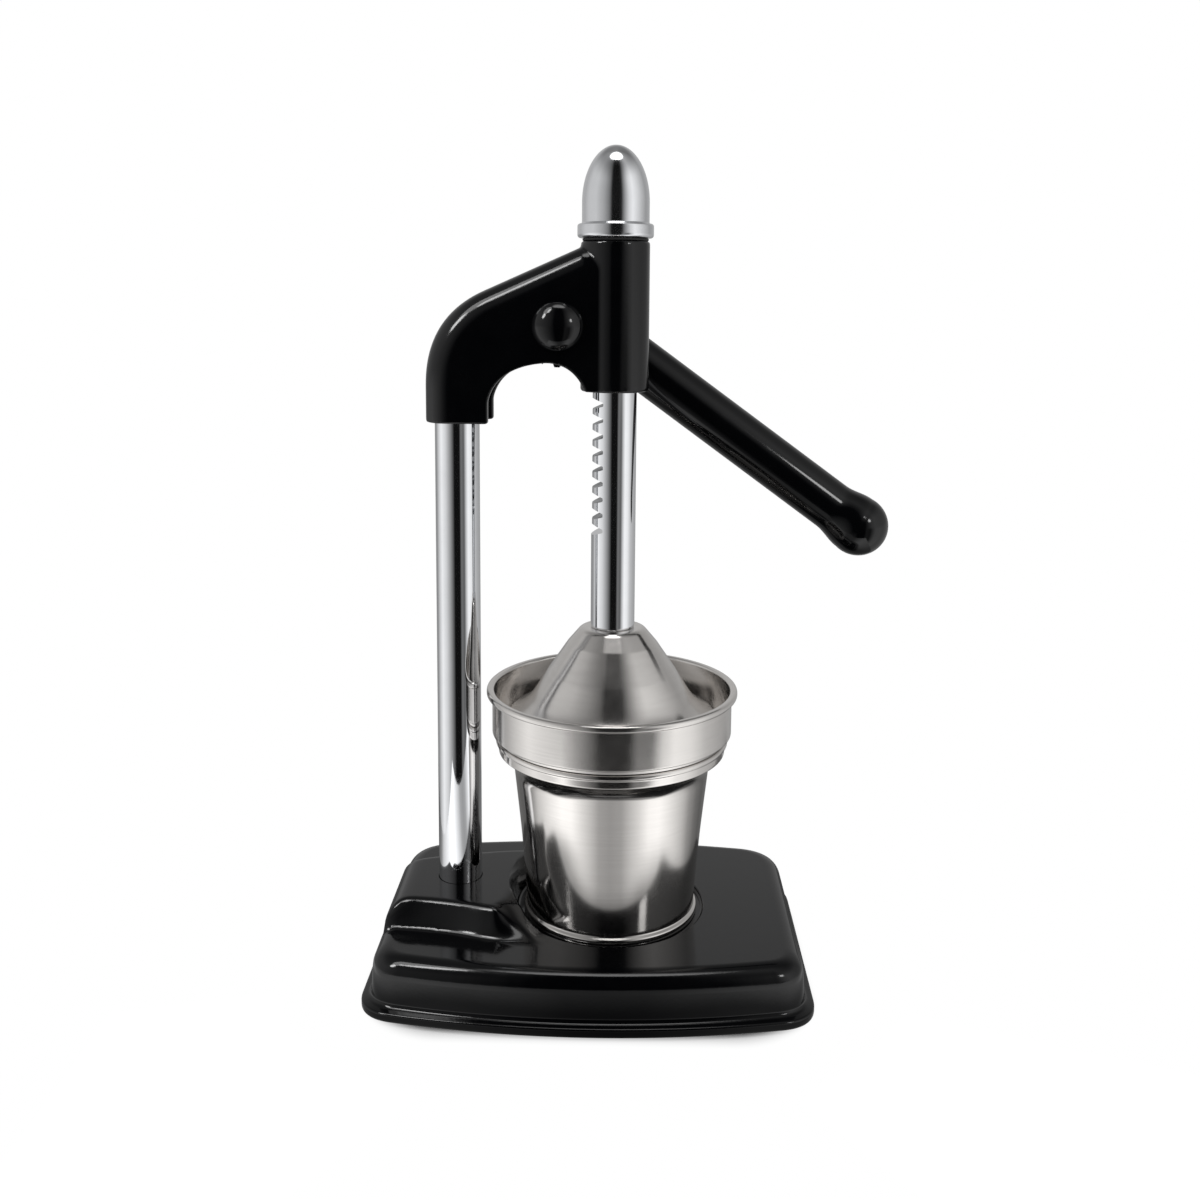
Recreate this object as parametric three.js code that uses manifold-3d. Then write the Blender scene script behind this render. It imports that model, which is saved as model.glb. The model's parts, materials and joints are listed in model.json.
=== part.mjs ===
// Lever citrus juice press: a post on a cast base carries a head with a rack and pinion.
// Pulling the lever down drives the bell over the reamer, and the juice runs through the
// bowl into the cup. Millimetres, +Z up, -Y is the front, and z = 0 is the table.
import * as THREE from 'three';
import { mergeVertices } from 'three/addons/utils/BufferGeometryUtils.js';
import Module from 'manifold-3d';

const wasm = await Module();
wasm.setup();

// Clearances and counts that every piece shares.
const SEAT_GAP = 0.3;
const RUNNING_GAP = 0.15;
const OVERRUN = 3;
const FINE_SIDES = 32;
const ROUND_SIDES = 24;
const SMALL_SIDES = 12;
const HEX_SIDES = 6;
const BEVEL_STEPS = 3;
const QUARTER = Math.PI / 2;
const FULL_TURN = 2 * Math.PI;

// Standard stock: the post's tube and the rod share one diameter. The rod's axis is x = y = 0.
const stockRadius = 10.65;

const base = {
  width: 210, centreX: -9.7, front: -76.5, back: 80,
  frontBow: 8.5, backBow: 6, frontCorner: 17, backCorner: 23,
  clearance: 1, top: 28, lipWidth: 4, lipHeight: 4.6, lipRound: 0.6,
  draft: 0.8, fillet: 8, wall: 3.5, curveSteps: 6, filletSteps: 4,
};

// The dish in the base that the cup stands in.
const recess = {
  depth: 2, footGap: 3.4, flare: 5.5, underWall: 3.5, bossWidth: 3.8, flareShares: [0.3, 0.45],
};

// The raised hump at the post's foot; its outlines are shares of its box in plan.
const hump = {
  rise: 13, fillet: 13, sideStep: 2.5, right: -31, front: -46, back: 38, wall: 4, roof: 4,
  footShares: [
    [0, 0.2], [0.42, 0.12], [0.67, 0.05], [0.98, 0], [1, 0.2], [1, 0.85], [0.83, 1],
    [0.3, 0.93], [0, 0.79],
  ],
  topShares: [
    [0, 0.23], [0.3, 0.245], [0.69, 0.17], [0.71, 0.18], [0.77, 0.31], [0.84, 0.81],
    [0.8, 0.89], [0.32, 0.79], [0, 0.61],
  ],
  edgeHeightShares: [0, 0.45, 0.72, 0.9, 1],
  edgeInShares: [0, 0.25, 0.45, 0.7, 1],
  hollowShares: [0.82, 0.8, 1],
};

const foot = {
  radius: 9, height: 6, recess: 3.2, insetX: 24, insetFront: 27, insetBack: 27, bossRadius: 10.5,
};

const footScrew = { headRadius: 4, headHeight: 2.2, shankRadius: 2, length: 15 };

const post = { x: -75, radius: stockRadius, wall: 2, embed: 25, socketRadius: 17, floor: 4 };

const postPlug = { length: 18 };

const postBolt = { shankRadius: 4, headFlats: 13, headHeight: 5.3, length: 24 };

const postWasher = { radius: 9, thickness: 1.8 };

// The head's heights are taken from its housing's lower end, and its leg is set out from the post.
const head = {
  bottom: 283.5, height: 70.3, radius: 16.2, round: 1.4, halfDepth: 14.6, edgeRound: 11,
  crownInset: 0.5, crownDrop: 2.8, slopeAngle: 0.4209, shoulderIn: 13.5, shoulderRise: 2.5,
  legOut: 14.3, legIn: 16.1, legDrop: 15, socketDepth: 35.5, slotHalfWidth: 8,
  archLegDrop: 4.5, archX: -32, archRise: 13.7, archInset: 2.7, archLegCurve: 3.9,
  archLegRound: 1.7, archHousingCurve: 5.5, arcSteps: 8,
  wall: 5, cavityIn: 13, cavityFloor: 17.5, cavityRoof: 52.5, cavityHalfWidth: 9.5,
};

const setScrew = { radius: 3, rise: 17.5, proud: 0.45 };

const guide = { wall: 1.35, wallGap: 0.2, length: 12 };

const rack = {
  module: 2.4, pressureAngle: 0.3491, pitchDepth: 2.45, tipDepth: 0.45, rootDepth: 5.65,
  teeth: 15, teethDrop: 93.1, backlash: 0.17, stubRadius: 6, upperStub: 14, lowerStub: 11.2,
};

const pinion = {
  teeth: 15, rise: 30.9, addendum: 1.5, dedendum: 2.45, halfWidth: 7, hubRadius: 11,
  roomGap: 1.1, flankSteps: 4,
};

const shaft = {
  radius: 6, frontInset: 2.2, squareSide: 9, studRadius: 4, studLength: 9.35,
  keyWidth: 4, keyLength: 12, keyRise: 2.2, keyDepth: 2,
};

const shaftBush = { wall: 2, length: 4.6 };

const dome = { radius: 12, height: 8.4, plugGap: 0.4, plugDepth: 1.8, steps: 6 };

const cap = {
  ringRadius: 17.9, ringHeight: 6.4, ringEdge: 0.9, radius: 15.8, straight: 10,
  domeHeight: 26.3, domeSteps: 8,
};

const bumper = { radius: 15.5, boreGap: 0.45, thickness: 1.2 };

// The bell's heights are drops from the rod's lower shoulder, which clamps it.
const bell = {
  wall: 1.4, topRadius: 14, shoulderRadius: 18.2, shoulderDrop: 2.3, waistRadius: 38.2,
  waistDrop: 32.9, brimRadius: 50, brimDrop: 42.6, pressGap: 7.15,
  shoulderShares: [[0.18, 0.18], [0.36, 0.345], [0.66, 0.64]],
  brimShares: [[0.32, 0.46], [0.66, 0.79]],
};

const bellWasher = { radius: 11, thickness: 1.5 };

const bellNut = { flats: 17, height: 7.2 };

const reamer = {
  wall: 1.2, flangeInset: 3.4, dishStep: 7.5, dishSlope: 2.6, dishDepth: 4.5,
  footRadius: 33, tipRadius: 3, tipRise: 0.8, height: 36.5, ribs: 8, ribWidth: 2.6, ribProud: 2.2,
  slots: 16, slotMargin: 3.25, slotWidth: 2.2, slotTurnShare: 0.5,
  sideShares: [[0.1, 0.1], [0.4, 0.42], [0.7, 0.76], [0.88, 0.93]],
};

// The bowl's rises and depths are taken from the ledge that lies on the cup's rim.
const bowl = {
  wall: 1.2, height: 24, ledgeWidth: 5.3, ledgeRound: 2.2, wallRise: 4.2, beadOut: 2.7,
  beadSize: 1.7, collarGap: 1.2, collarDepth: 7, collarTaper: 0.7, throatRadius: 24,
  throatDepth: 14.5, spoutDepth: 20.5,
  cornerShares: [[0.6, 0.14], [0.9, 0.5]],
};

// The cup's rises are taken from the face that it stands on, and its drops from its rim.
const cup = {
  wall: 1.2, height: 89.1, footRadius: 42.8, footWidth: 2.4, footHeight: 2.8, footRound: 0.9,
  floorRise: 2.6, lowRadius: 41.3, lowRise: 4.6, bodyRadius: 44, bodyDrop: 50.3,
  neckRadius: 47.4, neckDrop: 19, bandStep: 1.1, bandDrop: 8.1, mouthRadius: 55.5, mouthDrop: 3.1,
  beadOut: 1.2, beadSize: 1.5,
  neckShares: [[0.05, 0.275], [0.15, 0.44], [0.37, 0.64], [0.7, 0.826]],
};

// A rolled bead's section, as shares of its size: how far its corners stay back.
const beadShares = { full: 2, low: 1.4, high: 0.6, inner: 1.5 };

const lever = {
  angle: -0.6318, offset: 7.3, capGap: 1.1, headGap: 1.1, hubRadius: 15, hubBehind: 5.5,
  stubRadius: 10.5, stubStart: 2, stubEnd: 29.6, coreRadius: 6, coreStart: 14, coreEnd: 160,
  gripStart: 30, gripRadius: 12.5, ballRadius: 15.2, ballCentre: 179.4, neckLength: 17,
  ballStartShare: 1.1, edge: 1.2, ballSteps: 9, neckSteps: 4,
};

const leverWasher = { radius: 9, thickness: 1.6 };

const leverNut = { flats: 13, height: 6.4 };

// Places that follow from the sizes above.
const humpTop = base.top + hump.rise;
const recessFloor = base.top - recess.depth;
const recessRadius = cup.footRadius + recess.footGap;
const postBase = humpTop - post.embed;
const headTop = head.bottom + head.height;
const legBottom = head.bottom - head.legDrop;
const socketTop = legBottom + head.socketDepth;
const pinionRadius = (rack.module * pinion.teeth) / 2;
const pitchX = rack.pitchDepth - stockRadius;
const pinionX = pitchX - pinionRadius;
const pinionZ = head.bottom + pinion.rise;
const cupTop = recessFloor + cup.height;
const ledgeBottom = cupTop + SEAT_GAP;
const collarRadius = cup.mouthRadius - cup.wall - bowl.collarGap;
const bowlRadius = collarRadius + bowl.ledgeWidth;
const flangeTop = ledgeBottom + bowl.wall + SEAT_GAP / 2 + reamer.wall;
const dishTop = flangeTop - reamer.dishDepth;
const reamerTop = dishTop + reamer.height + reamer.tipRise;
const rodBottom = reamerTop + bell.pressGap + rack.lowerStub;
const rodTop = headTop + bumper.thickness;
const leverY = cap.ringRadius + lever.capGap + lever.gripRadius;
const hubFront = head.halfDepth + lever.headGap;
const hubBack = leverY + lever.hubBehind;
const squareEnd = hubBack + SEAT_GAP / 2;

const finish = {
  enamel: [0x0b0c10, 0.18, 0.1], chrome: [0xdfe2e6, 0.08, 1], brushed: [0xc9c6c1, 0.3, 1],
  steel: [0x8e9196, 0.4, 1], zinc: [0xa9acae, 0.45, 1], rubber: [0x191919, 0.9, 0],
  plastic: [0x101113, 0.25, 0], bronze: [0x9a7a45, 0.45, 1],
};

const press = new THREE.Group();

// Solids: closed geometries, joins and cuts.

function signedVolume(geometry) {
  const { position } = geometry.attributes;
  const corners = [new THREE.Vector3(), new THREE.Vector3(), new THREE.Vector3()];
  let volume = 0;
  for (let i = 0; i < geometry.index.count; i += corners.length) {
    corners.forEach((corner, k) => corner.fromBufferAttribute(position, geometry.index.getX(i + k)));
    volume += corners[0].dot(corners[1].clone().cross(corners[2]));
  }
  return volume;
}

function toSolid(geometry) {
  const bare = geometry.clone();
  for (const name of Object.keys(bare.attributes)) {
    if (name !== 'position') bare.deleteAttribute(name);
  }
  const merged = mergeVertices(bare);
  const triVerts = Uint32Array.from(merged.index.array);
  if (signedVolume(merged) < 0) {
    for (let i = 0; i < triVerts.length; i += 3) {
      [triVerts[i], triVerts[i + 1]] = [triVerts[i + 1], triVerts[i]];
    }
  }
  const vertProperties = Float32Array.from(merged.attributes.position.array);
  return new wasm.Manifold(new wasm.Mesh({ numProp: 3, vertProperties, triVerts }));
}

function toGeometry(solid) {
  const { vertProperties, triVerts } = solid.getMesh();
  const geometry = new THREE.BufferGeometry();
  geometry.setAttribute('position', new THREE.BufferAttribute(vertProperties, 3));
  geometry.setIndex(new THREE.BufferAttribute(triVerts, 1));
  geometry.computeVertexNormals();
  return geometry;
}

function joined(solids) {
  return solids.reduce((whole, solid) => whole.add(solid));
}

function cutFrom(solid, cuts) {
  return cuts.reduce((rest, cut) => rest.subtract(cut), solid);
}

function addPiece(name, solid, [color, roughness, metalness]) {
  const material = new THREE.MeshStandardMaterial({ color, roughness, metalness });
  const mesh = new THREE.Mesh(toGeometry(solid), material);
  mesh.name = name;
  press.add(mesh);
}

// A solid of revolution about +Z from [radius, height] points that start and end on the axis.
function turned(points, sides = FINE_SIDES) {
  const profile = points.map(([radius, height]) => new THREE.Vector2(radius, height));
  return new THREE.LatheGeometry(profile, sides).rotateX(QUARTER);
}

function closedLoop(points) {
  return [...points, points[0]];
}

function disc(radius, low, high, sides = SMALL_SIDES) {
  return turned([[0, low], [radius, low], [radius, high], [0, high]], sides);
}

function ring(outer, inner, low, high, sides = SMALL_SIDES) {
  return turned(closedLoop([[inner, low], [outer, low], [outer, high], [inner, high]]), sides);
}

function hexagon(flats, low, high) {
  const radius = flats / 2 / Math.cos(Math.PI / HEX_SIDES);
  return disc(radius, low, high, HEX_SIDES);
}

function box(low, high) {
  const size = high.map((value, axis) => value - low[axis]);
  const centre = high.map((value, axis) => (value + low[axis]) / 2);
  return new THREE.BoxGeometry(...size).translate(...centre);
}

// An outline in X and Z, extruded to both sides of y = 0 with its edges rounded.
function slab(outline, halfDepth, round = 0) {
  const shape = new THREE.Shape(outline.map(([x, z]) => new THREE.Vector2(x, z)));
  const options = {
    depth: 2 * (halfDepth - round), bevelEnabled: round > 0, bevelThickness: round,
    bevelSize: round, bevelOffset: -round, bevelSegments: BEVEL_STEPS,
  };
  const extruded = new THREE.ExtrudeGeometry(shape, options);
  return extruded.rotateX(QUARTER).translate(0, halfDepth - round, 0);
}

// Closes a stack of outlines, each of as many points, into one skin.
function skin(rings) {
  const count = rings[0].length;
  const points = rings.flat();
  const index = [];
  for (let level = 0; level + 1 < rings.length; level += 1) {
    for (let i = 0; i < count; i += 1) {
      const a = level * count + i;
      const b = level * count + ((i + 1) % count);
      index.push(a, b, b + count, a, b + count, a + count);
    }
  }
  for (const [level, flip] of [[0, true], [rings.length - 1, false]]) {
    const middle = points.length;
    const sum = rings[level].reduce((total, point) => total.add(point), new THREE.Vector3());
    points.push(sum.divideScalar(count));
    for (let i = 0; i < count; i += 1) {
      const edge = [level * count + i, level * count + ((i + 1) % count)];
      index.push(...(flip ? edge.reverse() : edge), middle);
    }
  }
  const geometry = new THREE.BufferGeometry().setFromPoints(points);
  geometry.setIndex(index);
  return geometry;
}

// Points between two corners at shares of the way, as [along radius, along height].
function between([r0, z0], [r1, z1], shares) {
  return shares.map(([r, z]) => [r0 + (r1 - r0) * r, z0 + (z1 - z0) * z]);
}

function quadratic([x0, z0], [cx, cz], [x1, z1], steps) {
  const curve = new THREE.QuadraticBezierCurve(
    new THREE.Vector2(x0, z0), new THREE.Vector2(cx, cz), new THREE.Vector2(x1, z1),
  );
  return curve.getPoints(steps).map(({ x, y }) => [x, y]);
}

// Moves each point of a wall's outer profile inwards by the wall's thickness.
function innerSide(points, wall) {
  return points.map(([r, z], i) => {
    const [r0, z0] = points[Math.max(i - 1, 0)];
    const [r1, z1] = points[Math.min(i + 1, points.length - 1)];
    const length = Math.hypot(r1 - r0, z1 - z0);
    return [Math.max(r - (wall * (z1 - z0)) / length, 0), z + (wall * (r1 - r0)) / length];
  });
}

// Places a solid that is turned about +Z so that its axis runs along +Y at the pinion.
function alongShaft(geometry) {
  return geometry.rotateX(-QUARTER).translate(pinionX, 0, pinionZ);
}

// A rolled bead's outer corners, from its lower outer one up and inwards.
function beadCorners(outer, top, size) {
  return [
    [outer, top - beadShares.low * size], [outer, top - beadShares.high * size],
    [outer - beadShares.high * size, top],
  ];
}

// Base.

function planOutline(inset) {
  const { centreX, width, frontBow, backBow, wall, curveSteps } = base;
  const left = centreX - width / 2 + inset;
  const right = centreX + width / 2 - inset;
  const front = base.front + inset;
  const back = base.back - inset;
  const frontCorner = Math.max(base.frontCorner - inset / 2, wall);
  const backCorner = Math.max(base.backCorner - inset / 2, wall);
  const sideFront = front + frontBow + (4 * frontBow * frontCorner) / width;
  const sideBack = back - backBow - (4 * backBow * backCorner) / width;
  const shape = new THREE.Shape();
  shape.moveTo(left + frontCorner, front + frontBow);
  shape.quadraticCurveTo(centreX, front - frontBow, right - frontCorner, front + frontBow);
  shape.quadraticCurveTo(right, sideFront, right, sideFront + frontCorner);
  shape.lineTo(right, sideBack - backCorner);
  shape.quadraticCurveTo(right, sideBack, right - backCorner, back - backBow);
  shape.quadraticCurveTo(centreX, back + backBow, left + backCorner, back - backBow);
  shape.quadraticCurveTo(left, sideBack, left, sideBack - backCorner);
  shape.lineTo(left, sideFront + frontCorner);
  shape.quadraticCurveTo(left, sideFront, left + frontCorner, front + frontBow);
  return shape.getPoints(curveSteps).slice(0, -1);
}

function planSkin(levels) {
  const level = ([inset, z]) => planOutline(inset).map(({ x, y }) => new THREE.Vector3(x, y, z));
  return skin(levels.map(level));
}

function roundedTop(inset, top, radius) {
  const points = [];
  for (let i = 0; i <= base.filletSteps; i += 1) {
    const angle = (i / base.filletSteps) * QUARTER;
    points.push([inset + radius * (1 - Math.cos(angle)), top - radius * (1 - Math.sin(angle))]);
  }
  return points;
}

function humpOutline(shares) {
  const left = base.centreX - base.width / 2;
  return shares.map(([across, back]) => [
    left + (hump.right - left) * across, hump.front + (hump.back - hump.front) * back,
  ]);
}

function humpSkin(low, top) {
  const footLine = humpOutline(hump.footShares);
  const topLine = humpOutline(hump.topShares);
  const levels = hump.edgeHeightShares.map((height, level) => footLine.map(([x, y], i) => {
    const share = hump.edgeInShares[level];
    const [topX, topY] = topLine[i];
    return new THREE.Vector3(
      x + (topX - x) * share, y + (topY - y) * share, low + (top - low) * height,
    );
  }));
  return skin(levels);
}

function footPlaces() {
  const left = base.centreX - base.width / 2 + foot.insetX;
  const right = base.centreX + base.width / 2 - foot.insetX;
  const front = base.front + foot.insetFront;
  const back = base.back - foot.insetBack;
  return {
    front_left: [left, front], front_right: [right, front],
    back_left: [left, back], back_right: [right, back],
  };
}

function baseBlock(wallInset) {
  const { clearance, lipRound, lipHeight, lipWidth, top, fillet } = base;
  const lipTop = clearance + lipHeight;
  return toSolid(planSkin([
    [lipRound, clearance], [0, clearance + lipRound], [0, lipTop - lipRound], [lipRound, lipTop],
    [lipWidth, lipTop], ...roundedTop(wallInset, top, fillet),
  ]));
}

function humpHill(wallInset) {
  const inset = wallInset + hump.sideStep;
  const limits = planSkin([[inset, 0], ...roundedTop(inset, humpTop, hump.fillet)]);
  return toSolid(humpSkin(recessFloor, humpTop)).intersect(toSolid(limits));
}

function humpHollow(innerInset, roof) {
  const limits = planSkin([[innerInset, 0], [innerInset, roof], [innerInset + hump.fillet, humpTop]]);
  const inner = humpSkin(recessFloor, humpTop - hump.roof).translate(-post.x, 0, 0);
  inner.scale(...hump.hollowShares).translate(post.x - hump.wall, 0, -hump.wall);
  const besideDish = disc(recessRadius + recess.flare + hump.wall, 0, humpTop, ROUND_SIDES);
  return toSolid(inner).intersect(toSolid(limits)).subtract(toSolid(besideDish));
}

function baseShell() {
  const wallInset = base.lipWidth + base.draft;
  const innerInset = wallInset + base.wall;
  const roof = base.top - base.wall;
  const inside = toSolid(planSkin([
    [base.lipWidth + base.wall, base.clearance - OVERRUN],
    ...roundedTop(innerInset, roof, Math.max(base.fillet - base.wall, base.lipRound)),
  ]));
  const outside = baseBlock(wallInset).add(humpHill(wallInset));
  return cutFrom(outside, [inside, humpHollow(innerInset, roof)]);
}

function baseBosses() {
  const inRoof = base.top - base.wall / 2;
  const socket = disc(post.socketRadius, postBase - post.floor, humpTop - hump.roof / 2, ROUND_SIDES);
  const dish = disc(recessRadius + recess.bossWidth, recessFloor - recess.underWall, inRoof, ROUND_SIDES);
  const bosses = [socket.translate(post.x, 0, 0), dish];
  for (const [x, y] of Object.values(footPlaces())) {
    bosses.push(disc(foot.bossRadius, foot.height, inRoof).translate(x, y, 0));
  }
  return bosses.map(toSolid);
}

function recessCut() {
  const top = humpTop + OVERRUN;
  const lip = [recessRadius, base.top];
  const flared = [recessRadius + recess.flare, top];
  return toSolid(turned([
    [0, recessFloor], [recessRadius, recessFloor], lip,
    ...between(lip, flared, [recess.flareShares]), flared, [0, top],
  ]));
}

function baseCuts() {
  const socket = disc(post.radius + SEAT_GAP, postBase, humpTop + OVERRUN, ROUND_SIDES);
  const boltRadius = postBolt.shankRadius + SEAT_GAP;
  const boltHole = disc(boltRadius, postBase - post.floor - OVERRUN, postBase + OVERRUN);
  const cuts = [recessCut()];
  cuts.push(toSolid(socket.translate(post.x, 0, 0)), toSolid(boltHole.translate(post.x, 0, 0)));
  const screwEnd = foot.recess + footScrew.length + SEAT_GAP;
  for (const [x, y] of Object.values(footPlaces())) {
    const pilot = disc(footScrew.shankRadius + SEAT_GAP, foot.height - OVERRUN, screwEnd);
    cuts.push(toSolid(pilot.translate(x, y, 0)));
  }
  return cuts;
}

function makeBase() {
  addPiece('base_casting', cutFrom(joined([baseShell(), ...baseBosses()]), baseCuts()), finish.enamel);
}

function makeFeet() {
  const { headRadius, headHeight, shankRadius, length } = footScrew;
  const bore = shankRadius + SEAT_GAP;
  const headBore = headRadius + 2 * SEAT_GAP;
  const footPoints = closedLoop([
    [headBore, 0], [foot.radius - base.lipRound, 0], [foot.radius, base.lipRound],
    [foot.radius, foot.height], [bore, foot.height], [bore, foot.recess], [headBore, foot.recess],
  ]);
  const screwPoints = [
    [0, foot.recess - headHeight], [headRadius, foot.recess - headHeight],
    [headRadius, foot.recess], [shankRadius, foot.recess],
    [shankRadius, foot.recess + length], [0, foot.recess + length],
  ];
  for (const [place, [x, y]] of Object.entries(footPlaces())) {
    const pad = turned(footPoints, SMALL_SIDES).translate(x, y, 0);
    const screw = turned(screwPoints, SMALL_SIDES).translate(x, y, 0);
    addPiece(`foot_${place}`, toSolid(pad), finish.rubber);
    addPiece(`foot_screw_${place}`, toSolid(screw), finish.zinc);
  }
}

// Post.

function makePost() {
  const bottom = postBase + SEAT_GAP;
  const top = socketTop - SEAT_GAP;
  const bore = post.radius - post.wall;
  const tube = ring(post.radius, bore, bottom, top, ROUND_SIDES).translate(post.x, 0, 0);
  addPiece('post_tube', toSolid(tube), finish.chrome);
  const plugBore = postBolt.shankRadius + SEAT_GAP;
  const plug = ring(bore - SEAT_GAP, plugBore, bottom, bottom + postPlug.length);
  addPiece('post_plug', toSolid(plug.translate(post.x, 0, 0)), finish.steel);
  makePostFixings(postBase - post.floor - SEAT_GAP / 2, plugBore);
}

function makePostFixings(washerTop, bore) {
  const washerBottom = washerTop - postWasher.thickness;
  const washer = ring(postWasher.radius, bore, washerBottom, washerTop);
  addPiece('post_washer', toSolid(washer.translate(post.x, 0, 0)), finish.zinc);
  const seat = washerBottom - SEAT_GAP / 2;
  const { headFlats, headHeight, shankRadius, length } = postBolt;
  const bolt = joined([
    toSolid(hexagon(headFlats, seat - headHeight, seat)),
    toSolid(disc(shankRadius, seat - headHeight / 2, seat + length)),
  ]);
  addPiece('post_bolt', bolt.translate([post.x, 0, 0]), finish.zinc);
}

// Head: the arm, the rack's housing and the leg that clamps the post.

function crown() {
  return [head.crownInset - head.radius, headTop - head.crownDrop];
}

function topLine(x) {
  const [crownX, crownZ] = crown();
  return crownZ - (crownX - x) * Math.tan(head.slopeAngle);
}

function armOutline() {
  const [crownX, crownZ] = crown();
  const left = post.x - head.legOut;
  const shoulderX = post.x + head.shoulderIn;
  const shoulder = quadratic(
    [shoulderX, topLine(shoulderX)], [left, topLine(left)], [left, head.bottom + head.shoulderRise],
    head.arcSteps,
  );
  const low = legBottom - OVERRUN;
  return [[0, crownZ], [crownX, crownZ], ...shoulder, [left, low], [0, low]];
}

// All that is open below the arm: beside the leg, under the arch and below the housing.
function underOutline() {
  const { bottom, archX, arcSteps } = head;
  const far = legBottom - 2 * head.radius;
  const left = post.x - head.legOut - OVERRUN;
  const legRight = post.x + head.legIn;
  const archTop = bottom + head.archRise;
  const housingX = head.archInset - head.radius;
  const legCorner = [legRight + head.archLegCurve, archTop - head.archLegRound];
  const housingCorner = [housingX - head.archHousingCurve, archTop];
  return [
    [left, far], [left, legBottom], [legRight, legBottom],
    ...quadratic([legRight, bottom - head.archLegDrop], legCorner, [archX, archTop], arcSteps),
    ...quadratic([archX, archTop], housingCorner, [housingX, bottom], arcSteps),
    [head.radius + OVERRUN, bottom], [head.radius + OVERRUN, far],
  ];
}

function cavityOutline() {
  const { bottom, wall, archX } = head;
  const left = post.x + head.cavityIn;
  const knee = crown()[0] - wall;
  const roof = bottom + head.cavityRoof;
  const floor = bottom + head.cavityFloor;
  const low = legBottom - OVERRUN;
  return [
    [left, low], [left, topLine(left) - wall], [knee, topLine(knee) - wall], [knee, roof],
    [pitchX, roof], [pitchX, floor], [archX, floor], [archX, low],
  ];
}

function housing() {
  const { bottom, radius, round } = head;
  return turned([
    [0, bottom], [radius - round, bottom], [radius, bottom + round], [radius, headTop - round],
    [radius - round, headTop], [0, headTop],
  ], FINE_SIDES);
}

function guideSeats() {
  const seatRadius = stockRadius + guide.wall + guide.wallGap;
  const depth = guide.length + SEAT_GAP;
  return [
    disc(seatRadius, head.bottom - OVERRUN, head.bottom + depth, ROUND_SIDES),
    disc(seatRadius, headTop - depth, headTop + OVERRUN, ROUND_SIDES),
  ];
}

function legCuts() {
  const { slotHalfWidth, legIn, radius } = head;
  const low = legBottom - OVERRUN;
  const socket = disc(post.radius + SEAT_GAP, low, socketTop, ROUND_SIDES);
  const slot = box([0, -slotHalfWidth, low], [legIn + OVERRUN, slotHalfWidth, socketTop]);
  const grub = disc(setScrew.radius + SEAT_GAP / 2, 0, radius + OVERRUN).rotateX(-QUARTER);
  return [socket, slot, grub.translate(0, 0, legBottom + setScrew.rise)]
    .map((cut) => cut.translate(post.x, 0, 0));
}

function headCuts() {
  const { cavityHalfWidth, halfDepth } = head;
  const room = pinionRadius + pinion.addendum + pinion.roomGap;
  const bushSeat = shaft.radius + shaftBush.wall + guide.wallGap;
  return [
    slab(underOutline(), head.radius + OVERRUN),
    slab(cavityOutline(), cavityHalfWidth),
    alongShaft(disc(room, -cavityHalfWidth, cavityHalfWidth, ROUND_SIDES)),
    alongShaft(disc(bushSeat, -halfDepth - OVERRUN, halfDepth + OVERRUN, ROUND_SIDES)),
    disc(stockRadius + 2 * SEAT_GAP, head.bottom - OVERRUN, headTop + OVERRUN, ROUND_SIDES),
    ...guideSeats(),
    ...legCuts(),
  ].map(toSolid);
}

function makeHead() {
  const arm = toSolid(slab(armOutline(), head.halfDepth, head.edgeRound));
  addPiece('head_casting', cutFrom(arm.add(toSolid(housing())), headCuts()), finish.enamel);
  const grub = disc(setScrew.radius, post.radius + SEAT_GAP / 2, head.halfDepth + setScrew.proud);
  grub.rotateX(-QUARTER).translate(post.x, 0, legBottom + setScrew.rise);
  addPiece('head_set_screw', toSolid(grub), finish.steel);
}

function makeGuides() {
  const sleeve = (low) => {
    const bore = stockRadius + guide.wallGap;
    return toSolid(ring(stockRadius + guide.wall, bore, low, low + guide.length, ROUND_SIDES));
  };
  addPiece('guide_lower', sleeve(head.bottom), finish.bronze);
  addPiece('guide_upper', sleeve(headTop - guide.length), finish.bronze);
}

// Rack rod, with its teeth facing the post.

function rackGap(centre) {
  const quarterPitch = (Math.PI * rack.module) / 4;
  const tangent = Math.tan(rack.pressureAngle);
  const halfGap = (x) => quarterPitch + rack.backlash / 2 + (pitchX - x) * tangent;
  const root = rack.rootDepth - stockRadius;
  const outer = -stockRadius - OVERRUN;
  return slab([
    [outer, centre - halfGap(outer)], [root, centre - halfGap(root)],
    [root, centre + halfGap(root)], [outer, centre + halfGap(outer)],
  ], stockRadius + OVERRUN);
}

function makeRack() {
  const pitch = Math.PI * rack.module;
  const { stubRadius, upperStub, lowerStub } = rack;
  const rod = toSolid(turned([
    [0, rodBottom - lowerStub], [stubRadius, rodBottom - lowerStub], [stubRadius, rodBottom],
    [stockRadius, rodBottom], [stockRadius, rodTop], [stubRadius, rodTop],
    [stubRadius, rodTop + upperStub], [0, rodTop + upperStub],
  ], ROUND_SIDES));
  const firstGap = pinionZ - rack.teethDrop - pitch / 2;
  const lastGap = firstGap + rack.teeth * pitch;
  const across = stockRadius + OVERRUN;
  const shave = toSolid(box([-across, -across, firstGap], [rack.tipDepth - stockRadius, across, lastGap]));
  const gaps = [];
  for (let i = 0; i <= rack.teeth; i += 1) {
    gaps.push(toSolid(rackGap(firstGap + i * pitch)));
  }
  addPiece('rack_rod', cutFrom(rod, [shave, ...gaps]), finish.chrome);
}

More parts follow.
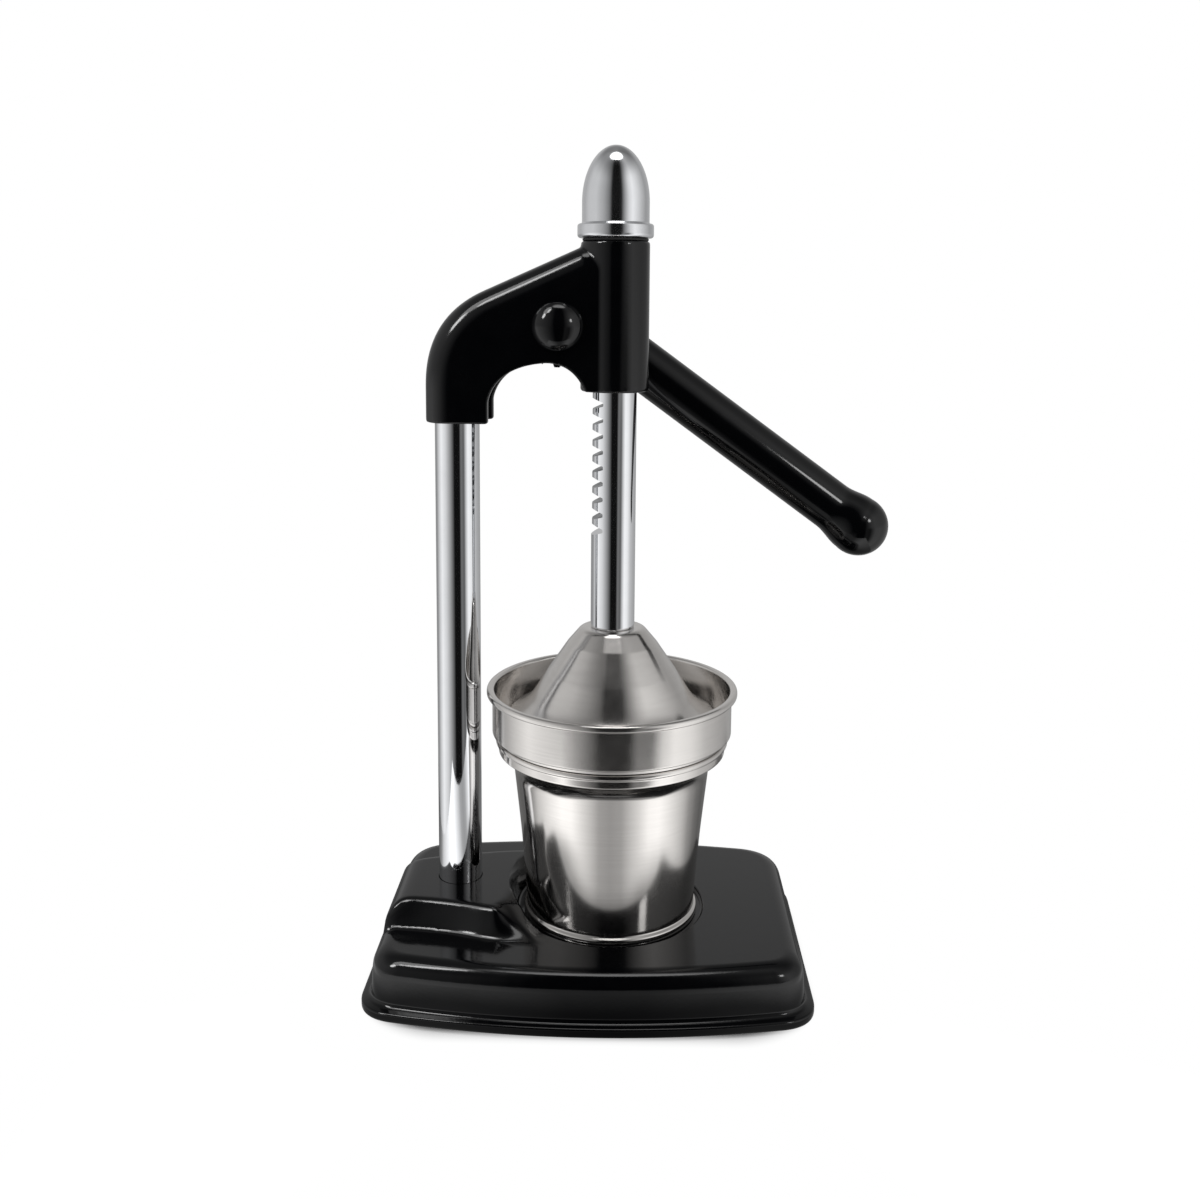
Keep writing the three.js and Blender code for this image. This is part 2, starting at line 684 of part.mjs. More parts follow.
function makeCap() {
  const low = rodTop + SEAT_GAP / 2;
  const domeLow = low + cap.ringHeight + cap.straight;
  const bore = rack.stubRadius + SEAT_GAP;
  const boreEnd = rodTop + rack.upperStub + 2 * SEAT_GAP;
  const { ringRadius, ringHeight, ringEdge } = cap;
  const points = [
    [bore, low], [ringRadius - ringEdge, low], [ringRadius, low + ringEdge],
    [ringRadius, low + ringHeight - ringEdge], [ringRadius - ringEdge, low + ringHeight],
    [cap.radius, low + ringHeight],
  ];
  for (let i = 0; i <= cap.domeSteps; i += 1) {
    const angle = (i / cap.domeSteps) * QUARTER;
    points.push([cap.radius * Math.cos(angle), domeLow + cap.domeHeight * Math.sin(angle)]);
  }
  points[points.length - 1][0] = 0;
  points.push([0, boreEnd], [bore, boreEnd], [bore, low]);
  addPiece('rack_cap', toSolid(turned(points, ROUND_SIDES)), finish.chrome);
  const washer = ring(bumper.radius, stockRadius + bumper.boreGap, headTop, rodTop, ROUND_SIDES);
  addPiece('cap_bumper', toSolid(washer), finish.rubber);
}

// Presser: the bell, clamped on the rod's lower stub.

function bellProfile(bore) {
  const shoulder = [bell.shoulderRadius, rodBottom - bell.shoulderDrop];
  const waist = [bell.waistRadius, rodBottom - bell.waistDrop];
  const brim = [bell.brimRadius, rodBottom - bell.brimDrop];
  return [
    [bore, rodBottom], [bell.topRadius, rodBottom], shoulder,
    ...between(shoulder, waist, bell.shoulderShares), waist,
    ...between(waist, brim, bell.brimShares), brim,
  ];
}

function makePresser() {
  const bellBore = rack.stubRadius + SEAT_GAP;
  const outside = bellProfile(bellBore).reverse();
  const inside = innerSide(outside, bell.wall).map(([r, z]) => [Math.max(r, bellBore), z]);
  const shell = toSolid(turned(closedLoop([...outside, ...inside.reverse()])));
  addPiece('presser_bell', shell, finish.brushed);
  const washerTop = rodBottom - bell.wall - SEAT_GAP / 2;
  const washerBottom = washerTop - bellWasher.thickness;
  const bore = rack.stubRadius + SEAT_GAP / 2;
  const washer = ring(bellWasher.radius, bore, washerBottom, washerTop, ROUND_SIDES);
  addPiece('presser_washer', toSolid(washer), finish.zinc);
  const nutTop = washerBottom - SEAT_GAP / 2;
  const nutBottom = nutTop - bellNut.height;
  const hole = disc(bore, nutBottom - OVERRUN, nutTop + OVERRUN, ROUND_SIDES);
  const nut = toSolid(hexagon(bellNut.flats, nutBottom, nutTop));
  addPiece('presser_nut', nut.subtract(toSolid(hole)), finish.zinc);
}

// Reamer: a ribbed cone in a slotted dish that hangs on the bowl's ledge.

function dishRadius() {
  return bowlRadius - reamer.flangeInset - reamer.dishStep;
}

function reamerSide() {
  const start = [reamer.footRadius, dishTop];
  const tip = [reamer.tipRadius, dishTop + reamer.height];
  return [start, ...between(start, tip, reamer.sideShares), tip];
}

function reamerShell(side) {
  const upper = [
    [bowlRadius - reamer.flangeInset, flangeTop], [dishRadius() + reamer.dishSlope, flangeTop],
    [dishRadius(), dishTop], ...side, [0, reamerTop],
  ];
  const lower = innerSide(upper, reamer.wall);
  lower[lower.length - 1] = [0, reamerTop - reamer.wall];
  return toSolid(turned(closedLoop([...upper, ...lower.reverse()])));
}

function reamerRibs(side) {
  const { ribs, ribProud, ribWidth, wall } = reamer;
  const outline = [...innerSide(side, -ribProud), ...innerSide(side, wall / 2).reverse()];
  const solids = [];
  for (let i = 0; i < ribs; i += 1) {
    solids.push(toSolid(slab(outline, ribWidth / 2).rotateZ((i / ribs) * FULL_TURN)));
  }
  return solids;
}

function reamerSlots() {
  const { slots, slotMargin, slotWidth, slotTurnShare, footRadius } = reamer;
  const low = [footRadius + slotMargin, -slotWidth / 2, dishTop - OVERRUN];
  const high = [dishRadius() - slotMargin, slotWidth / 2, dishTop + OVERRUN];
  const solids = [];
  for (let i = 0; i < slots; i += 1) {
    solids.push(toSolid(box(low, high).rotateZ(((i + slotTurnShare) / slots) * FULL_TURN)));
  }
  return solids;
}

function makeReamer() {
  const side = reamerSide();
  const whole = joined([reamerShell(side), ...reamerRibs(side)]);
  addPiece('reamer_strainer', cutFrom(whole, reamerSlots()), finish.brushed);
}

// Bowl: a ledge for the reamer, a collar that drops into the cup's mouth and a sloping floor.

function makeBowl() {
  const { wall, beadSize, throatRadius } = bowl;
  const top = ledgeBottom + bowl.height;
  const beadBottom = top - beadShares.full * beadSize;
  const beadRadius = bowlRadius + bowl.beadOut;
  const ledgeEdge = [bowlRadius - bowl.ledgeRound, ledgeBottom];
  const wallFoot = [bowlRadius, ledgeBottom + bowl.wallRise];
  const under = [
    [throatRadius, ledgeBottom - bowl.spoutDepth], [throatRadius, ledgeBottom - bowl.throatDepth],
    [collarRadius - bowl.collarTaper, ledgeBottom - bowl.collarDepth], [collarRadius, ledgeBottom],
    ledgeEdge, ...between(ledgeEdge, wallFoot, bowl.cornerShares), wallFoot,
    [bowlRadius, beadBottom],
  ];
  const bead = [
    [beadRadius - beadSize, beadBottom], ...beadCorners(beadRadius, top, beadSize),
    [beadRadius - beadShares.inner * beadSize, top],
    [bowlRadius - wall, top - beadShares.high * beadSize],
  ];
  const over = innerSide(under, wall).reverse();
  addPiece('funnel_bowl', toSolid(turned(closedLoop([...under, ...bead, ...over]))), finish.brushed);
}

// Cup.

function cupSide() {
  const neck = [cup.neckRadius, cupTop - cup.neckDrop];
  const band = [cup.mouthRadius - cup.bandStep, cupTop - cup.bandDrop];
  return [
    [cup.lowRadius, recessFloor + cup.lowRise], [cup.bodyRadius, cupTop - cup.bodyDrop], neck,
    ...between(neck, band, cup.neckShares), band, [cup.mouthRadius, cupTop - cup.mouthDrop],
    [cup.mouthRadius, cupTop - beadShares.full * cup.beadSize],
  ];
}

function makeCup() {
  const { wall, footRadius, footHeight, footRound, mouthRadius } = cup;
  const bottom = recessFloor;
  const floor = bottom + cup.floorRise;
  const side = cupSide();
  const inner = innerSide(side, wall).reverse();
  const footInner = footRadius - cup.footWidth;
  const stand = [
    [0, floor], [footInner, floor], [footInner, bottom], [footRadius - footRound, bottom],
    [footRadius, bottom + footRound], [footRadius, bottom + footHeight - footRound],
    [footRadius - footRound, bottom + footHeight],
  ];
  const bead = beadCorners(mouthRadius + cup.beadOut, cupTop, cup.beadSize);
  const floorEdge = [cup.lowRadius - wall - footRound, floor + wall];
  const points = [
    ...stand, ...side, ...bead, [mouthRadius - wall, cupTop], ...inner, floorEdge, [0, floor + wall],
  ];
  addPiece('juice_cup', toSolid(turned(points)), finish.brushed);
}

// Pinion, its shaft and the bushes that carry it.

function toothHalfAngle(radius) {
  const involute = (angle) => Math.tan(angle) - angle;
  const halfTooth = (Math.PI * rack.module) / 4 - rack.backlash / 2;
  const cosine = Math.min((pinionRadius * Math.cos(rack.pressureAngle)) / radius, 1);
  return halfTooth / pinionRadius + involute(rack.pressureAngle) - involute(Math.acos(cosine));
}

function pinionOutline() {
  const pitch = Math.PI * rack.module;
  const nearest = Math.round(rack.teethDrop / pitch) * pitch - rack.teethDrop;
  const gapAngle = nearest / pinionRadius;
  const root = pinionRadius - pinion.dedendum;
  const start = pinionRadius * Math.cos(rack.pressureAngle);
  const tip = pinionRadius + pinion.addendum;
  const radii = [root];
  for (let i = 0; i <= pinion.flankSteps; i += 1) {
    radii.push(start + ((tip - start) * i) / pinion.flankSteps);
  }
  const points = [];
  for (let tooth = 0; tooth < pinion.teeth; tooth += 1) {
    const middle = gapAngle + ((tooth + 1 / 2) / pinion.teeth) * FULL_TURN;
    const at = (radius, side) => {
      const angle = middle + side * toothHalfAngle(radius);
      return [radius * Math.cos(angle), radius * Math.sin(angle)];
    };
    points.push(...radii.map((radius) => at(radius, -1)));
    points.push(...radii.map((radius) => at(radius, 1)).reverse());
  }
  return points;
}

function keyBox(gap) {
  const half = shaft.keyWidth / 2 + gap;
  const low = [-half, -shaft.keyLength / 2 - gap, shaft.radius - shaft.keyDepth - gap];
  const high = [half, shaft.keyLength / 2 + gap, shaft.radius + shaft.keyRise + gap];
  return toSolid(box(low, high).translate(pinionX, 0, pinionZ));
}

function makePinion() {
  const halfHub = head.cavityHalfWidth - SEAT_GAP;
  const gear = toSolid(slab(pinionOutline(), pinion.halfWidth).translate(pinionX, 0, pinionZ));
  const hub = toSolid(alongShaft(disc(pinion.hubRadius, -halfHub, halfHub)));
  const bore = disc(shaft.radius + SEAT_GAP / 2, -halfHub - OVERRUN, halfHub + OVERRUN, ROUND_SIDES);
  const cuts = [toSolid(alongShaft(bore)), keyBox(SEAT_GAP / 2)];
  addPiece('pinion_gear', cutFrom(gear.add(hub), cuts), finish.steel);
  addPiece('pinion_key', keyBox(0), finish.steel);
}

function makeShaft() {
  const { radius, studRadius, studLength } = shaft;
  const front = shaft.frontInset - head.halfDepth;
  const squareStart = hubFront - SEAT_GAP;
  const half = shaft.squareSide / 2;
  const reach = radius + OVERRUN;
  const envelope = [
    box([-reach, front - OVERRUN, -reach], [reach, squareStart, reach]),
    box([-half, squareStart - OVERRUN, -half], [half, squareEnd, half]),
  ].map((limits) => toSolid(limits.translate(pinionX, 0, pinionZ)));
  const round = toSolid(alongShaft(disc(radius, front, squareEnd, ROUND_SIDES)));
  const stud = toSolid(alongShaft(disc(studRadius, squareEnd - OVERRUN, squareEnd + studLength)));
  const body = round.intersect(joined(envelope)).add(stud).subtract(keyBox(SEAT_GAP / 2));
  addPiece('pinion_shaft', body, finish.steel);
}

function makeBushes() {
  const inner = shaft.radius + RUNNING_GAP;
  const outer = shaft.radius + shaftBush.wall;
  const outside = head.halfDepth - SEAT_GAP;
  const front = ring(outer, inner, -outside, shaftBush.length - outside, ROUND_SIDES);
  addPiece('shaft_bush_front', toSolid(alongShaft(front)), finish.bronze);
  const back = ring(outer, inner, outside - shaftBush.length, outside, ROUND_SIDES);
  addPiece('shaft_bush_back', toSolid(alongShaft(back)), finish.bronze);
}

function makeDome() {
  const face = -head.halfDepth - SEAT_GAP / 3;
  const plugEnd = face + dome.plugDepth;
  const plugRadius = shaft.radius - dome.plugGap;
  const points = [[0, plugEnd], [plugRadius, plugEnd], [plugRadius, face]];
  for (let i = 0; i <= dome.steps; i += 1) {
    const angle = (i / dome.steps) * QUARTER;
    points.push([dome.radius * Math.cos(angle), face - dome.height * Math.sin(angle)]);
  }
  points[points.length - 1][0] = 0;
  addPiece('shaft_dome_cap', toSolid(alongShaft(turned(points, ROUND_SIDES))), finish.plastic);
}

// Lever: the hub on the shaft's square, a steel core and the grip with its ball end.

function alongLever(geometry) {
  const footX = pinionX - Math.sin(lever.angle) * lever.offset;
  const footZ = pinionZ + Math.cos(lever.angle) * lever.offset;
  return geometry.rotateY(QUARTER - lever.angle).translate(footX, leverY, footZ);
}

function makeLeverHub() {
  const { hubRadius, stubRadius, stubStart, stubEnd, coreRadius, coreStart } = lever;
  const hub = joined([
    toSolid(alongShaft(disc(hubRadius, hubFront, hubBack, ROUND_SIDES))),
    toSolid(alongLever(disc(stubRadius, stubStart, stubEnd, ROUND_SIDES))),
  ]);
  const half = shaft.squareSide / 2 + SEAT_GAP / 2;
  const square = box([-half, hubFront - OVERRUN, -half], [half, hubBack + OVERRUN, half]);
  const nutRoom = disc(leverWasher.radius + 2 * SEAT_GAP, hubBack, hubBack + 2 * hubRadius, ROUND_SIDES);
  const coreHole = disc(coreRadius + RUNNING_GAP, coreStart - SEAT_GAP, stubEnd + OVERRUN);
  const cuts = [square.translate(pinionX, 0, pinionZ), alongShaft(nutRoom), alongLever(coreHole)];
  addPiece('lever_hub', cutFrom(hub, cuts.map(toSolid)), finish.enamel);
}

function makeGrip() {
  const { gripStart, gripRadius, ballRadius, ballCentre, edge, coreRadius, coreEnd } = lever;
  addPiece('lever_core', toSolid(alongLever(disc(coreRadius, lever.coreStart, coreEnd))), finish.steel);
  const bore = coreRadius + RUNNING_GAP;
  const neckStart = ballCentre - lever.neckLength;
  const ballStart = QUARTER * lever.ballStartShare;
  const meet = [ballRadius * Math.sin(ballStart), ballCentre + ballRadius * Math.cos(ballStart)];
  const points = [
    [0, coreEnd + SEAT_GAP], [bore, coreEnd + SEAT_GAP], [bore, gripStart],
    [gripRadius - edge, gripStart], [gripRadius, gripStart + edge], [gripRadius, neckStart],
  ];
  for (let i = 1; i < lever.neckSteps; i += 1) {
    const share = i / lever.neckSteps;
    const rise = (1 - Math.cos(share * 2 * QUARTER)) / 2;
    points.push(...between([gripRadius, neckStart], meet, [[rise, share]]));
  }
  for (let i = 0; i <= lever.ballSteps; i += 1) {
    const angle = ballStart * (1 - i / lever.ballSteps);
    points.push([ballRadius * Math.sin(angle), ballCentre + ballRadius * Math.cos(angle)]);
  }
  points[points.length - 1][0] = 0;
  addPiece('lever_grip', toSolid(alongLever(turned(points, ROUND_SIDES))), finish.plastic);
}

function makeLeverFixings() {
  const bore = shaft.studRadius + SEAT_GAP / 2;
  const washerStart = squareEnd + SEAT_GAP / 2;
  const washerEnd = washerStart + leverWasher.thickness;
  const washer = ring(leverWasher.radius, bore, washerStart, washerEnd);
  addPiece('lever_washer', toSolid(alongShaft(washer)), finish.zinc);
  const nutStart = washerEnd + SEAT_GAP / 2;
  const nutEnd = nutStart + leverNut.height;
  const nut = toSolid(alongShaft(hexagon(leverNut.flats, nutStart, nutEnd)));
  const hole = toSolid(alongShaft(disc(bore, nutStart - OVERRUN, nutEnd + OVERRUN)));
  addPiece('lever_nut', nut.subtract(hole), finish.zinc);
}

makeBase();
makeFeet();
makePost();
makeHead();
makeGuides();
makeRack();
makeCap();
makePresser();
makeReamer();
makeBowl();
makeCup();
makePinion();
makeShaft();
makeBushes();
makeDome();
makeLeverHub();
makeGrip();
makeLeverFixings();

// Stands the press with the middle of its outline in plan at the origin.
const outline = new THREE.Box3().setFromObject(press);
press.position.set(-(outline.min.x + outline.max.x) / 2, -(outline.min.y + outline.max.y) / 2, 0);
press.updateMatrixWorld(true);

export default press;
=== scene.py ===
"""Lever citrus juice press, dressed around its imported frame.

Metres, +Z up, the front towards -Y. Each sub-assembly is a class that holds its sizes, builds
its pieces and dresses them. Places come from the frame, so that a piece sits where its node is.
"""
import json
import logging
import math
from collections.abc import Callable, Iterable, Sequence
from dataclasses import dataclass, field
from enum import Enum

import bmesh
import bpy
import numpy as np
from mathutils import Matrix, Vector

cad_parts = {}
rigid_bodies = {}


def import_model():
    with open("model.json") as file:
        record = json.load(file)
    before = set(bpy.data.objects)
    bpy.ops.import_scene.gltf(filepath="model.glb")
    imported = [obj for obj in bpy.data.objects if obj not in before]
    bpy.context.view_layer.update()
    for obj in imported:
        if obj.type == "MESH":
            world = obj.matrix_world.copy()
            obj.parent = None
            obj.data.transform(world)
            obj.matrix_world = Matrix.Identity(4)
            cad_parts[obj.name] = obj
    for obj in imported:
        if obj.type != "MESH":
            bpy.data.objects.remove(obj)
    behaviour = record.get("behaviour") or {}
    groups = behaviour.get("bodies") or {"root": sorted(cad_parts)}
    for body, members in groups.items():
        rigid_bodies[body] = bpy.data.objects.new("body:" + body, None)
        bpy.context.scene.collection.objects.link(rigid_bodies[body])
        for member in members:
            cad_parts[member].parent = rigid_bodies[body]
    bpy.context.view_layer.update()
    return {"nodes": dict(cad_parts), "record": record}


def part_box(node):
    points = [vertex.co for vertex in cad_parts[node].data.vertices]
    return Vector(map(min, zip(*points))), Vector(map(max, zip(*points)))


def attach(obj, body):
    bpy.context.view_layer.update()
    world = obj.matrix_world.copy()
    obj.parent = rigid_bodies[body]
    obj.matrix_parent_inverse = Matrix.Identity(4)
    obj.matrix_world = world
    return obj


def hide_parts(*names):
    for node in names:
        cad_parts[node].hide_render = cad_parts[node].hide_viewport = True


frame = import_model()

FULL_TURN = 2.0 * math.pi
QUARTER_TURN = 0.5 * math.pi
SMOOTH_ANGLE = math.radians(32.0)
MERGE = 1e-6
SUPPORT = 0.0006
LONG_STRETCH = 5.0 * SUPPORT
NEARLY_STRAIGHT = 0.499 * math.pi
FILLET_REACH = 0.49
SEGMENTS = 144
SMALL_SEGMENTS = 64
WASHER_EDGE = 0.0003
NUT_FACE = 0.47
NUT_CHAMFER = 0.55
THREAD_DEPTH = 0.5
THREAD_CREST = (0.4, 0.6)
TINY = 1e-9
PRESS_AXIS = "rack_rod"

Point = tuple[float, float]
Pair = tuple[float, float]
Place = tuple[float, float, float]
Colour = tuple[float, float, float]
Solid = bmesh.types.BMesh
Socket = bpy.types.NodeSocket

log = logging.getLogger("press")


# Small sums


def middle(node: str) -> Vector:
    """The middle of a CAD node's box."""
    low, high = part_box(node)
    return (low + high) / 2.0


def smooth_min(a: np.ndarray, b: np.ndarray, width: float) -> np.ndarray:
    """The lower of two heights, rounded where they meet.

    Args:
        a: The first heights.
        b: The second heights.
        width: The difference within which the two are rounded together.

    Returns:
        The rounded lower heights.
    """
    share = np.clip(0.5 + 0.5 * (b - a) / width, 0.0, 1.0)
    return b + (a - b) * share - width * share * (1.0 - share)


def smooth_max(a: np.ndarray, b: np.ndarray, width: float) -> np.ndarray:
    """The higher of two heights, rounded where they meet; see smooth_min."""
    return -smooth_min(-a, -b, width)


# Profiles


@dataclass(frozen=True)
class Corner:
    """A corner of a profile: distance from the axis, height and rounding."""

    r: float
    z: float
    rounding: float = 0.0


def raised(corners: Sequence[Corner], by: float) -> list[Corner]:
    """Corners moved up by a height."""
    return [Corner(corner.r, corner.z + by, corner.rounding) for corner in corners]


def fillet(before: Corner, corner: Corner, after: Corner, steps: int) -> list[Point]:
    """The points that round one corner off.

    Args:
        before: The corner before it.
        corner: The corner to round.
        after: The corner after it.
        steps: How many steps the rounding takes.

    Returns:
        The rounding's points, or the corner itself where it has none.
    """
    here = Vector((corner.r, corner.z))
    back = Vector((before.r, before.z)) - here
    ahead = Vector((after.r, after.z)) - here
    half = back.angle(ahead) / 2.0
    if corner.rounding <= 0.0 or half > NEARLY_STRAIGHT:
        return [(corner.r, corner.z)]
    reach = min(corner.rounding / math.tan(half), FILLET_REACH * back.length, FILLET_REACH * ahead.length)
    radius = reach * math.tan(half)
    centre = here + (back.normalized() + ahead.normalized()).normalized() * (radius / math.sin(half))
    first = here + back.normalized() * reach - centre
    last = here + ahead.normalized() * reach - centre
    turn_by = first.angle_signed(last)
    points = []
    for step in range(steps + 1):
        spoke = first.copy()
        spoke.rotate(Matrix.Rotation(-turn_by * step / steps, 2))
        points.append((centre.x + spoke.x, centre.y + spoke.y))
    return points


def rounded(corners: Sequence[Corner], closed: bool = False, steps: int = 6) -> list[Point]:
    """A profile with its corners rounded, and support points beside each rounding.

    Args:
        corners: The profile's corners in order.
        closed: Whether the last corner joins the first.
        steps: How many steps each rounding takes.

    Returns:
        The profile's points.
    """
    count = len(corners)
    points: list[Point] = []
    for index, corner in enumerate(corners):
        if not closed and index in (0, count - 1):
            points.append((corner.r, corner.z))
        else:
            points += fillet(corners[index - 1], corner, corners[(index + 1) % count], steps)
    return supported(points, closed)


def supported(points: Sequence[Point], closed: bool = False) -> list[Point]:
    """Adds a point close to each end of every long stretch, so that shading stays crisp there.

    Args:
        points: A profile's points.
        closed: Whether the last point joins the first.

    Returns:
        The points with the added ones between them.
    """
    result: list[Point] = []
    count = len(points)
    for index, (r0, z0) in enumerate(points):
        result.append((r0, z0))
        if not closed and index == count - 1:
            break
        r1, z1 = points[(index + 1) % count]
        length = math.hypot(r1 - r0, z1 - z0)
        if length > LONG_STRETCH:
            share = SUPPORT / length
            result += [(r0 + (r1 - r0) * t, z0 + (z1 - z0) * t) for t in (share, 1.0 - share)]
    return result


def flowing(points: Sequence[Point], steps: int = 6) -> list[Point]:
    """A smooth curve through every one of a few points.

    Args:
        points: The points that the curve passes.
        steps: How many steps lie between two of them.

    Returns:
        The curve's points.
    """
    ends = [points[0], *points, points[-1]]
    curve: list[Point] = []
    for a, b, c, d in zip(ends, ends[1:], ends[2:], ends[3:]):
        for step in range(steps):
            t = step / steps
            curve.append(tuple(
                0.5 * (2.0 * q + (r - p) * t + (2.0 * p - 5.0 * q + 4.0 * r - s) * t * t
                       + (3.0 * q - p - 3.0 * r + s) * t ** 3)
                for p, q, r, s in zip(a, b, c, d)
            ))
    curve.append(tuple(points[-1]))
    return curve


def bow(start: Point, pull: Point, end: Point, steps: int) -> list[Point]:
    """A quadratic curve from start to end, drawn towards pull, without its last point.

    Args:
        start: Where it starts.
        pull: The point that it is drawn towards.
        end: Where it ends.
        steps: How many steps it takes.

    Returns:
        The curve's points.
    """
    points = []
    for step in range(steps):
        t = step / steps
        weights = ((1.0 - t) ** 2, 2.0 * t * (1.0 - t), t * t)
        points.append(tuple(sum(w * p[i] for w, p in zip(weights, (start, pull, end))) for i in (0, 1)))
    return points


def inner_wall(points: Sequence[Point], wall: float) -> list[Point]:
    """A profile's points moved to the left of its direction by the wall's thickness.

    Args:
        points: The profile's points.
        wall: The wall's thickness.

    Returns:
        The moved points.
    """
    moved = []
    for index, (r, z) in enumerate(points):
        r0, z0 = points[max(index - 1, 0)]
        r1, z1 = points[min(index + 1, len(points) - 1)]
        length = math.hypot(r1 - r0, z1 - z0)
        moved.append((max(r - wall * (z1 - z0) / length, 0.0), z + wall * (r1 - r0) / length))
    return moved


# Meshes


class Join(Enum):
    """How one solid acts on another."""

    ADD = "UNION"
    CUT = "DIFFERENCE"
    KEEP = "INTERSECT"


def turn(profile: Sequence[Point], closed: bool = False, segments: int = SEGMENTS) -> Solid:
    """Spins a profile about +Z into a solid.

    Args:
        profile: Points as distance from the axis and height.
        closed: Whether the profile closes on itself instead of starting and ending on the axis.
        segments: How many steps make the full turn.

    Returns:
        The solid.
    """
    bm = bmesh.new()
    verts = [bm.verts.new((r, 0.0, z)) for r, z in profile]
    pairs = list(zip(verts, verts[1:]))
    if closed:
        pairs.append((verts[-1], verts[0]))
    edges = [bm.edges.new(pair) for pair in pairs]
    bmesh.ops.spin(
        bm, geom=verts + edges, cent=(0.0, 0.0, 0.0), axis=(0.0, 0.0, 1.0), angle=FULL_TURN,
        steps=segments, use_merge=True, use_duplicate=False,
    )
    bmesh.ops.remove_doubles(bm, verts=bm.verts, dist=MERGE)
    bmesh.ops.recalc_face_normals(bm, faces=bm.faces)
    return bm


def prism(outline: Sequence[Point], low: float, high: float) -> Solid:
    """Extrudes an outline in X and Z along Y.

    Args:
        outline: The outline's corners as X and Z.
        low: The Y that it starts at.
        high: The Y that it ends at.

    Returns:
        The solid.
    """
    bm = bmesh.new()
    face = bm.faces.new([bm.verts.new((x, low, z)) for x, z in outline])
    extruded = bmesh.ops.extrude_face_region(bm, geom=[face])
    moved = [item for item in extruded["geom"] if isinstance(item, bmesh.types.BMVert)]
    bmesh.ops.translate(bm, verts=moved, vec=(0.0, high - low, 0.0))
    bmesh.ops.recalc_face_normals(bm, faces=bm.faces)
    return bm


def block(low: Sequence[float], high: Sequence[float]) -> Solid:
    """A plain box between two corners, used as a cutter."""
    outline = [(low[0], low[2]), (high[0], low[2]), (high[0], high[2]), (low[0], high[2])]
    return prism(outline, low[1], high[1])


def woven(rows: int, columns: int, place: Callable[[int, int], Sequence[float]]) -> Solid:
    """A grid bent into a closed skin: each crossing goes where place says.

    Args:
        rows: How many rows of crossings it has.
        columns: How many crossings a row has; the last falls on the first.
        place: Gives the place of a crossing from its row and column.

    Returns:
        The skin, with its seam and its poles closed.
    """
    bm = bmesh.new()
    bmesh.ops.create_grid(bm, x_segments=columns, y_segments=rows - 1, size=1.0)
    for vert in bm.verts:
        column = round((vert.co.x + 1.0) / 2.0 * columns) % columns
        row = round((vert.co.y + 1.0) / 2.0 * (rows - 1))
        vert.co = place(row, column)
    bmesh.ops.remove_doubles(bm, verts=bm.verts, dist=MERGE)
    bmesh.ops.recalc_face_normals(bm, faces=bm.faces)
    return bm


def moved(bm: Solid, matrix: Matrix) -> Solid:
    """The same mesh, put where a matrix says."""
    bmesh.ops.transform(bm, matrix=matrix, verts=bm.verts)
    return bm


def at(bm: Solid, x: float = 0.0, y: float = 0.0, z: float = 0.0) -> Solid:
    """The same mesh, shifted."""
    return moved(bm, Matrix.Translation((x, y, z)))


def to_object(bm: Solid, name: str) -> bpy.types.Object:
    """Puts a mesh into a new object in the scene, and frees it.

    Args:
        bm: The mesh.
        name: The object's name.

    Returns:
        The object.
    """
    mesh = bpy.data.meshes.new(name)
    bm.to_mesh(mesh)
    bm.free()
    made = bpy.data.objects.new(name, mesh)
    bpy.context.scene.collection.objects.link(made)
    return made


def evaluated(owner: bpy.types.Object) -> Solid:
    """The mesh that an object's modifiers give.

    Args:
        owner: The object.

    Returns:
        The mesh, which no longer changes with the object.
    """
    graph = bpy.context.evaluated_depsgraph_get()
    bm = bmesh.new()
    bm.from_mesh(owner.evaluated_get(graph).to_mesh())
    owner.evaluated_get(graph).to_mesh_clear()
    return bm


def drop(*objects: bpy.types.Object) -> None:
    """Deletes working objects together with their meshes.

    Args:
        objects: The objects.
    """
    for item in objects:
        mesh = item.data
        bpy.data.objects.remove(item)
        bpy.data.meshes.remove(mesh)


def combined(solid: Solid, how: Join, tools: Iterable[Solid]) -> Solid:
    """Adds solids to one, or cuts them from it.

    Args:
        solid: The solid that is worked on.
        how: Whether the others are added, cut away or kept in common.
        tools: The other solids.

    Returns:
        The result as a new mesh.
    """
    for tool in tools:
        target, other = to_object(solid, "work"), to_object(tool, "tool")
        modifier = target.modifiers.new("join", "BOOLEAN")
        modifier.operation = how.value
        modifier.solver = "EXACT"
        modifier.object = other
        solid = evaluated(target)
        drop(target, other)
    return solid


def recast(bm: Solid, voxel: float, smoothing: int) -> Solid:
    """Rebuilds a solid with even faces and soft edges, as a casting has.

    Args:
        bm: The solid with its sharp edges.
        voxel: The size of the even faces.
        smoothing: How many times the surface is evened out.

    Returns:
        The softened solid.
    """
    work = to_object(bm, "work")
    modifier = work.modifiers.new("recast", "REMESH")
    modifier.mode = "VOXEL"
    modifier.voxel_size = voxel
    result = evaluated(work)
    drop(work)
    for _ in range(smoothing):
        bmesh.ops.smooth_vert(
            result, verts=result.verts, factor=0.5, use_axis_x=True, use_axis_y=True, use_axis_z=True,
        )
    return result


def joined(parts: Iterable[Solid]) -> Solid:
    """Several loose shells in one mesh.

    Args:
        parts: The shells, which are freed.

    Returns:
        The one mesh.
    """
    whole = bmesh.new()
    for part in parts:
        mesh = bpy.data.meshes.new("part")
        part.to_mesh(mesh)
        part.free()
        whole.from_mesh(mesh)
        bpy.data.meshes.remove(mesh)
    return whole


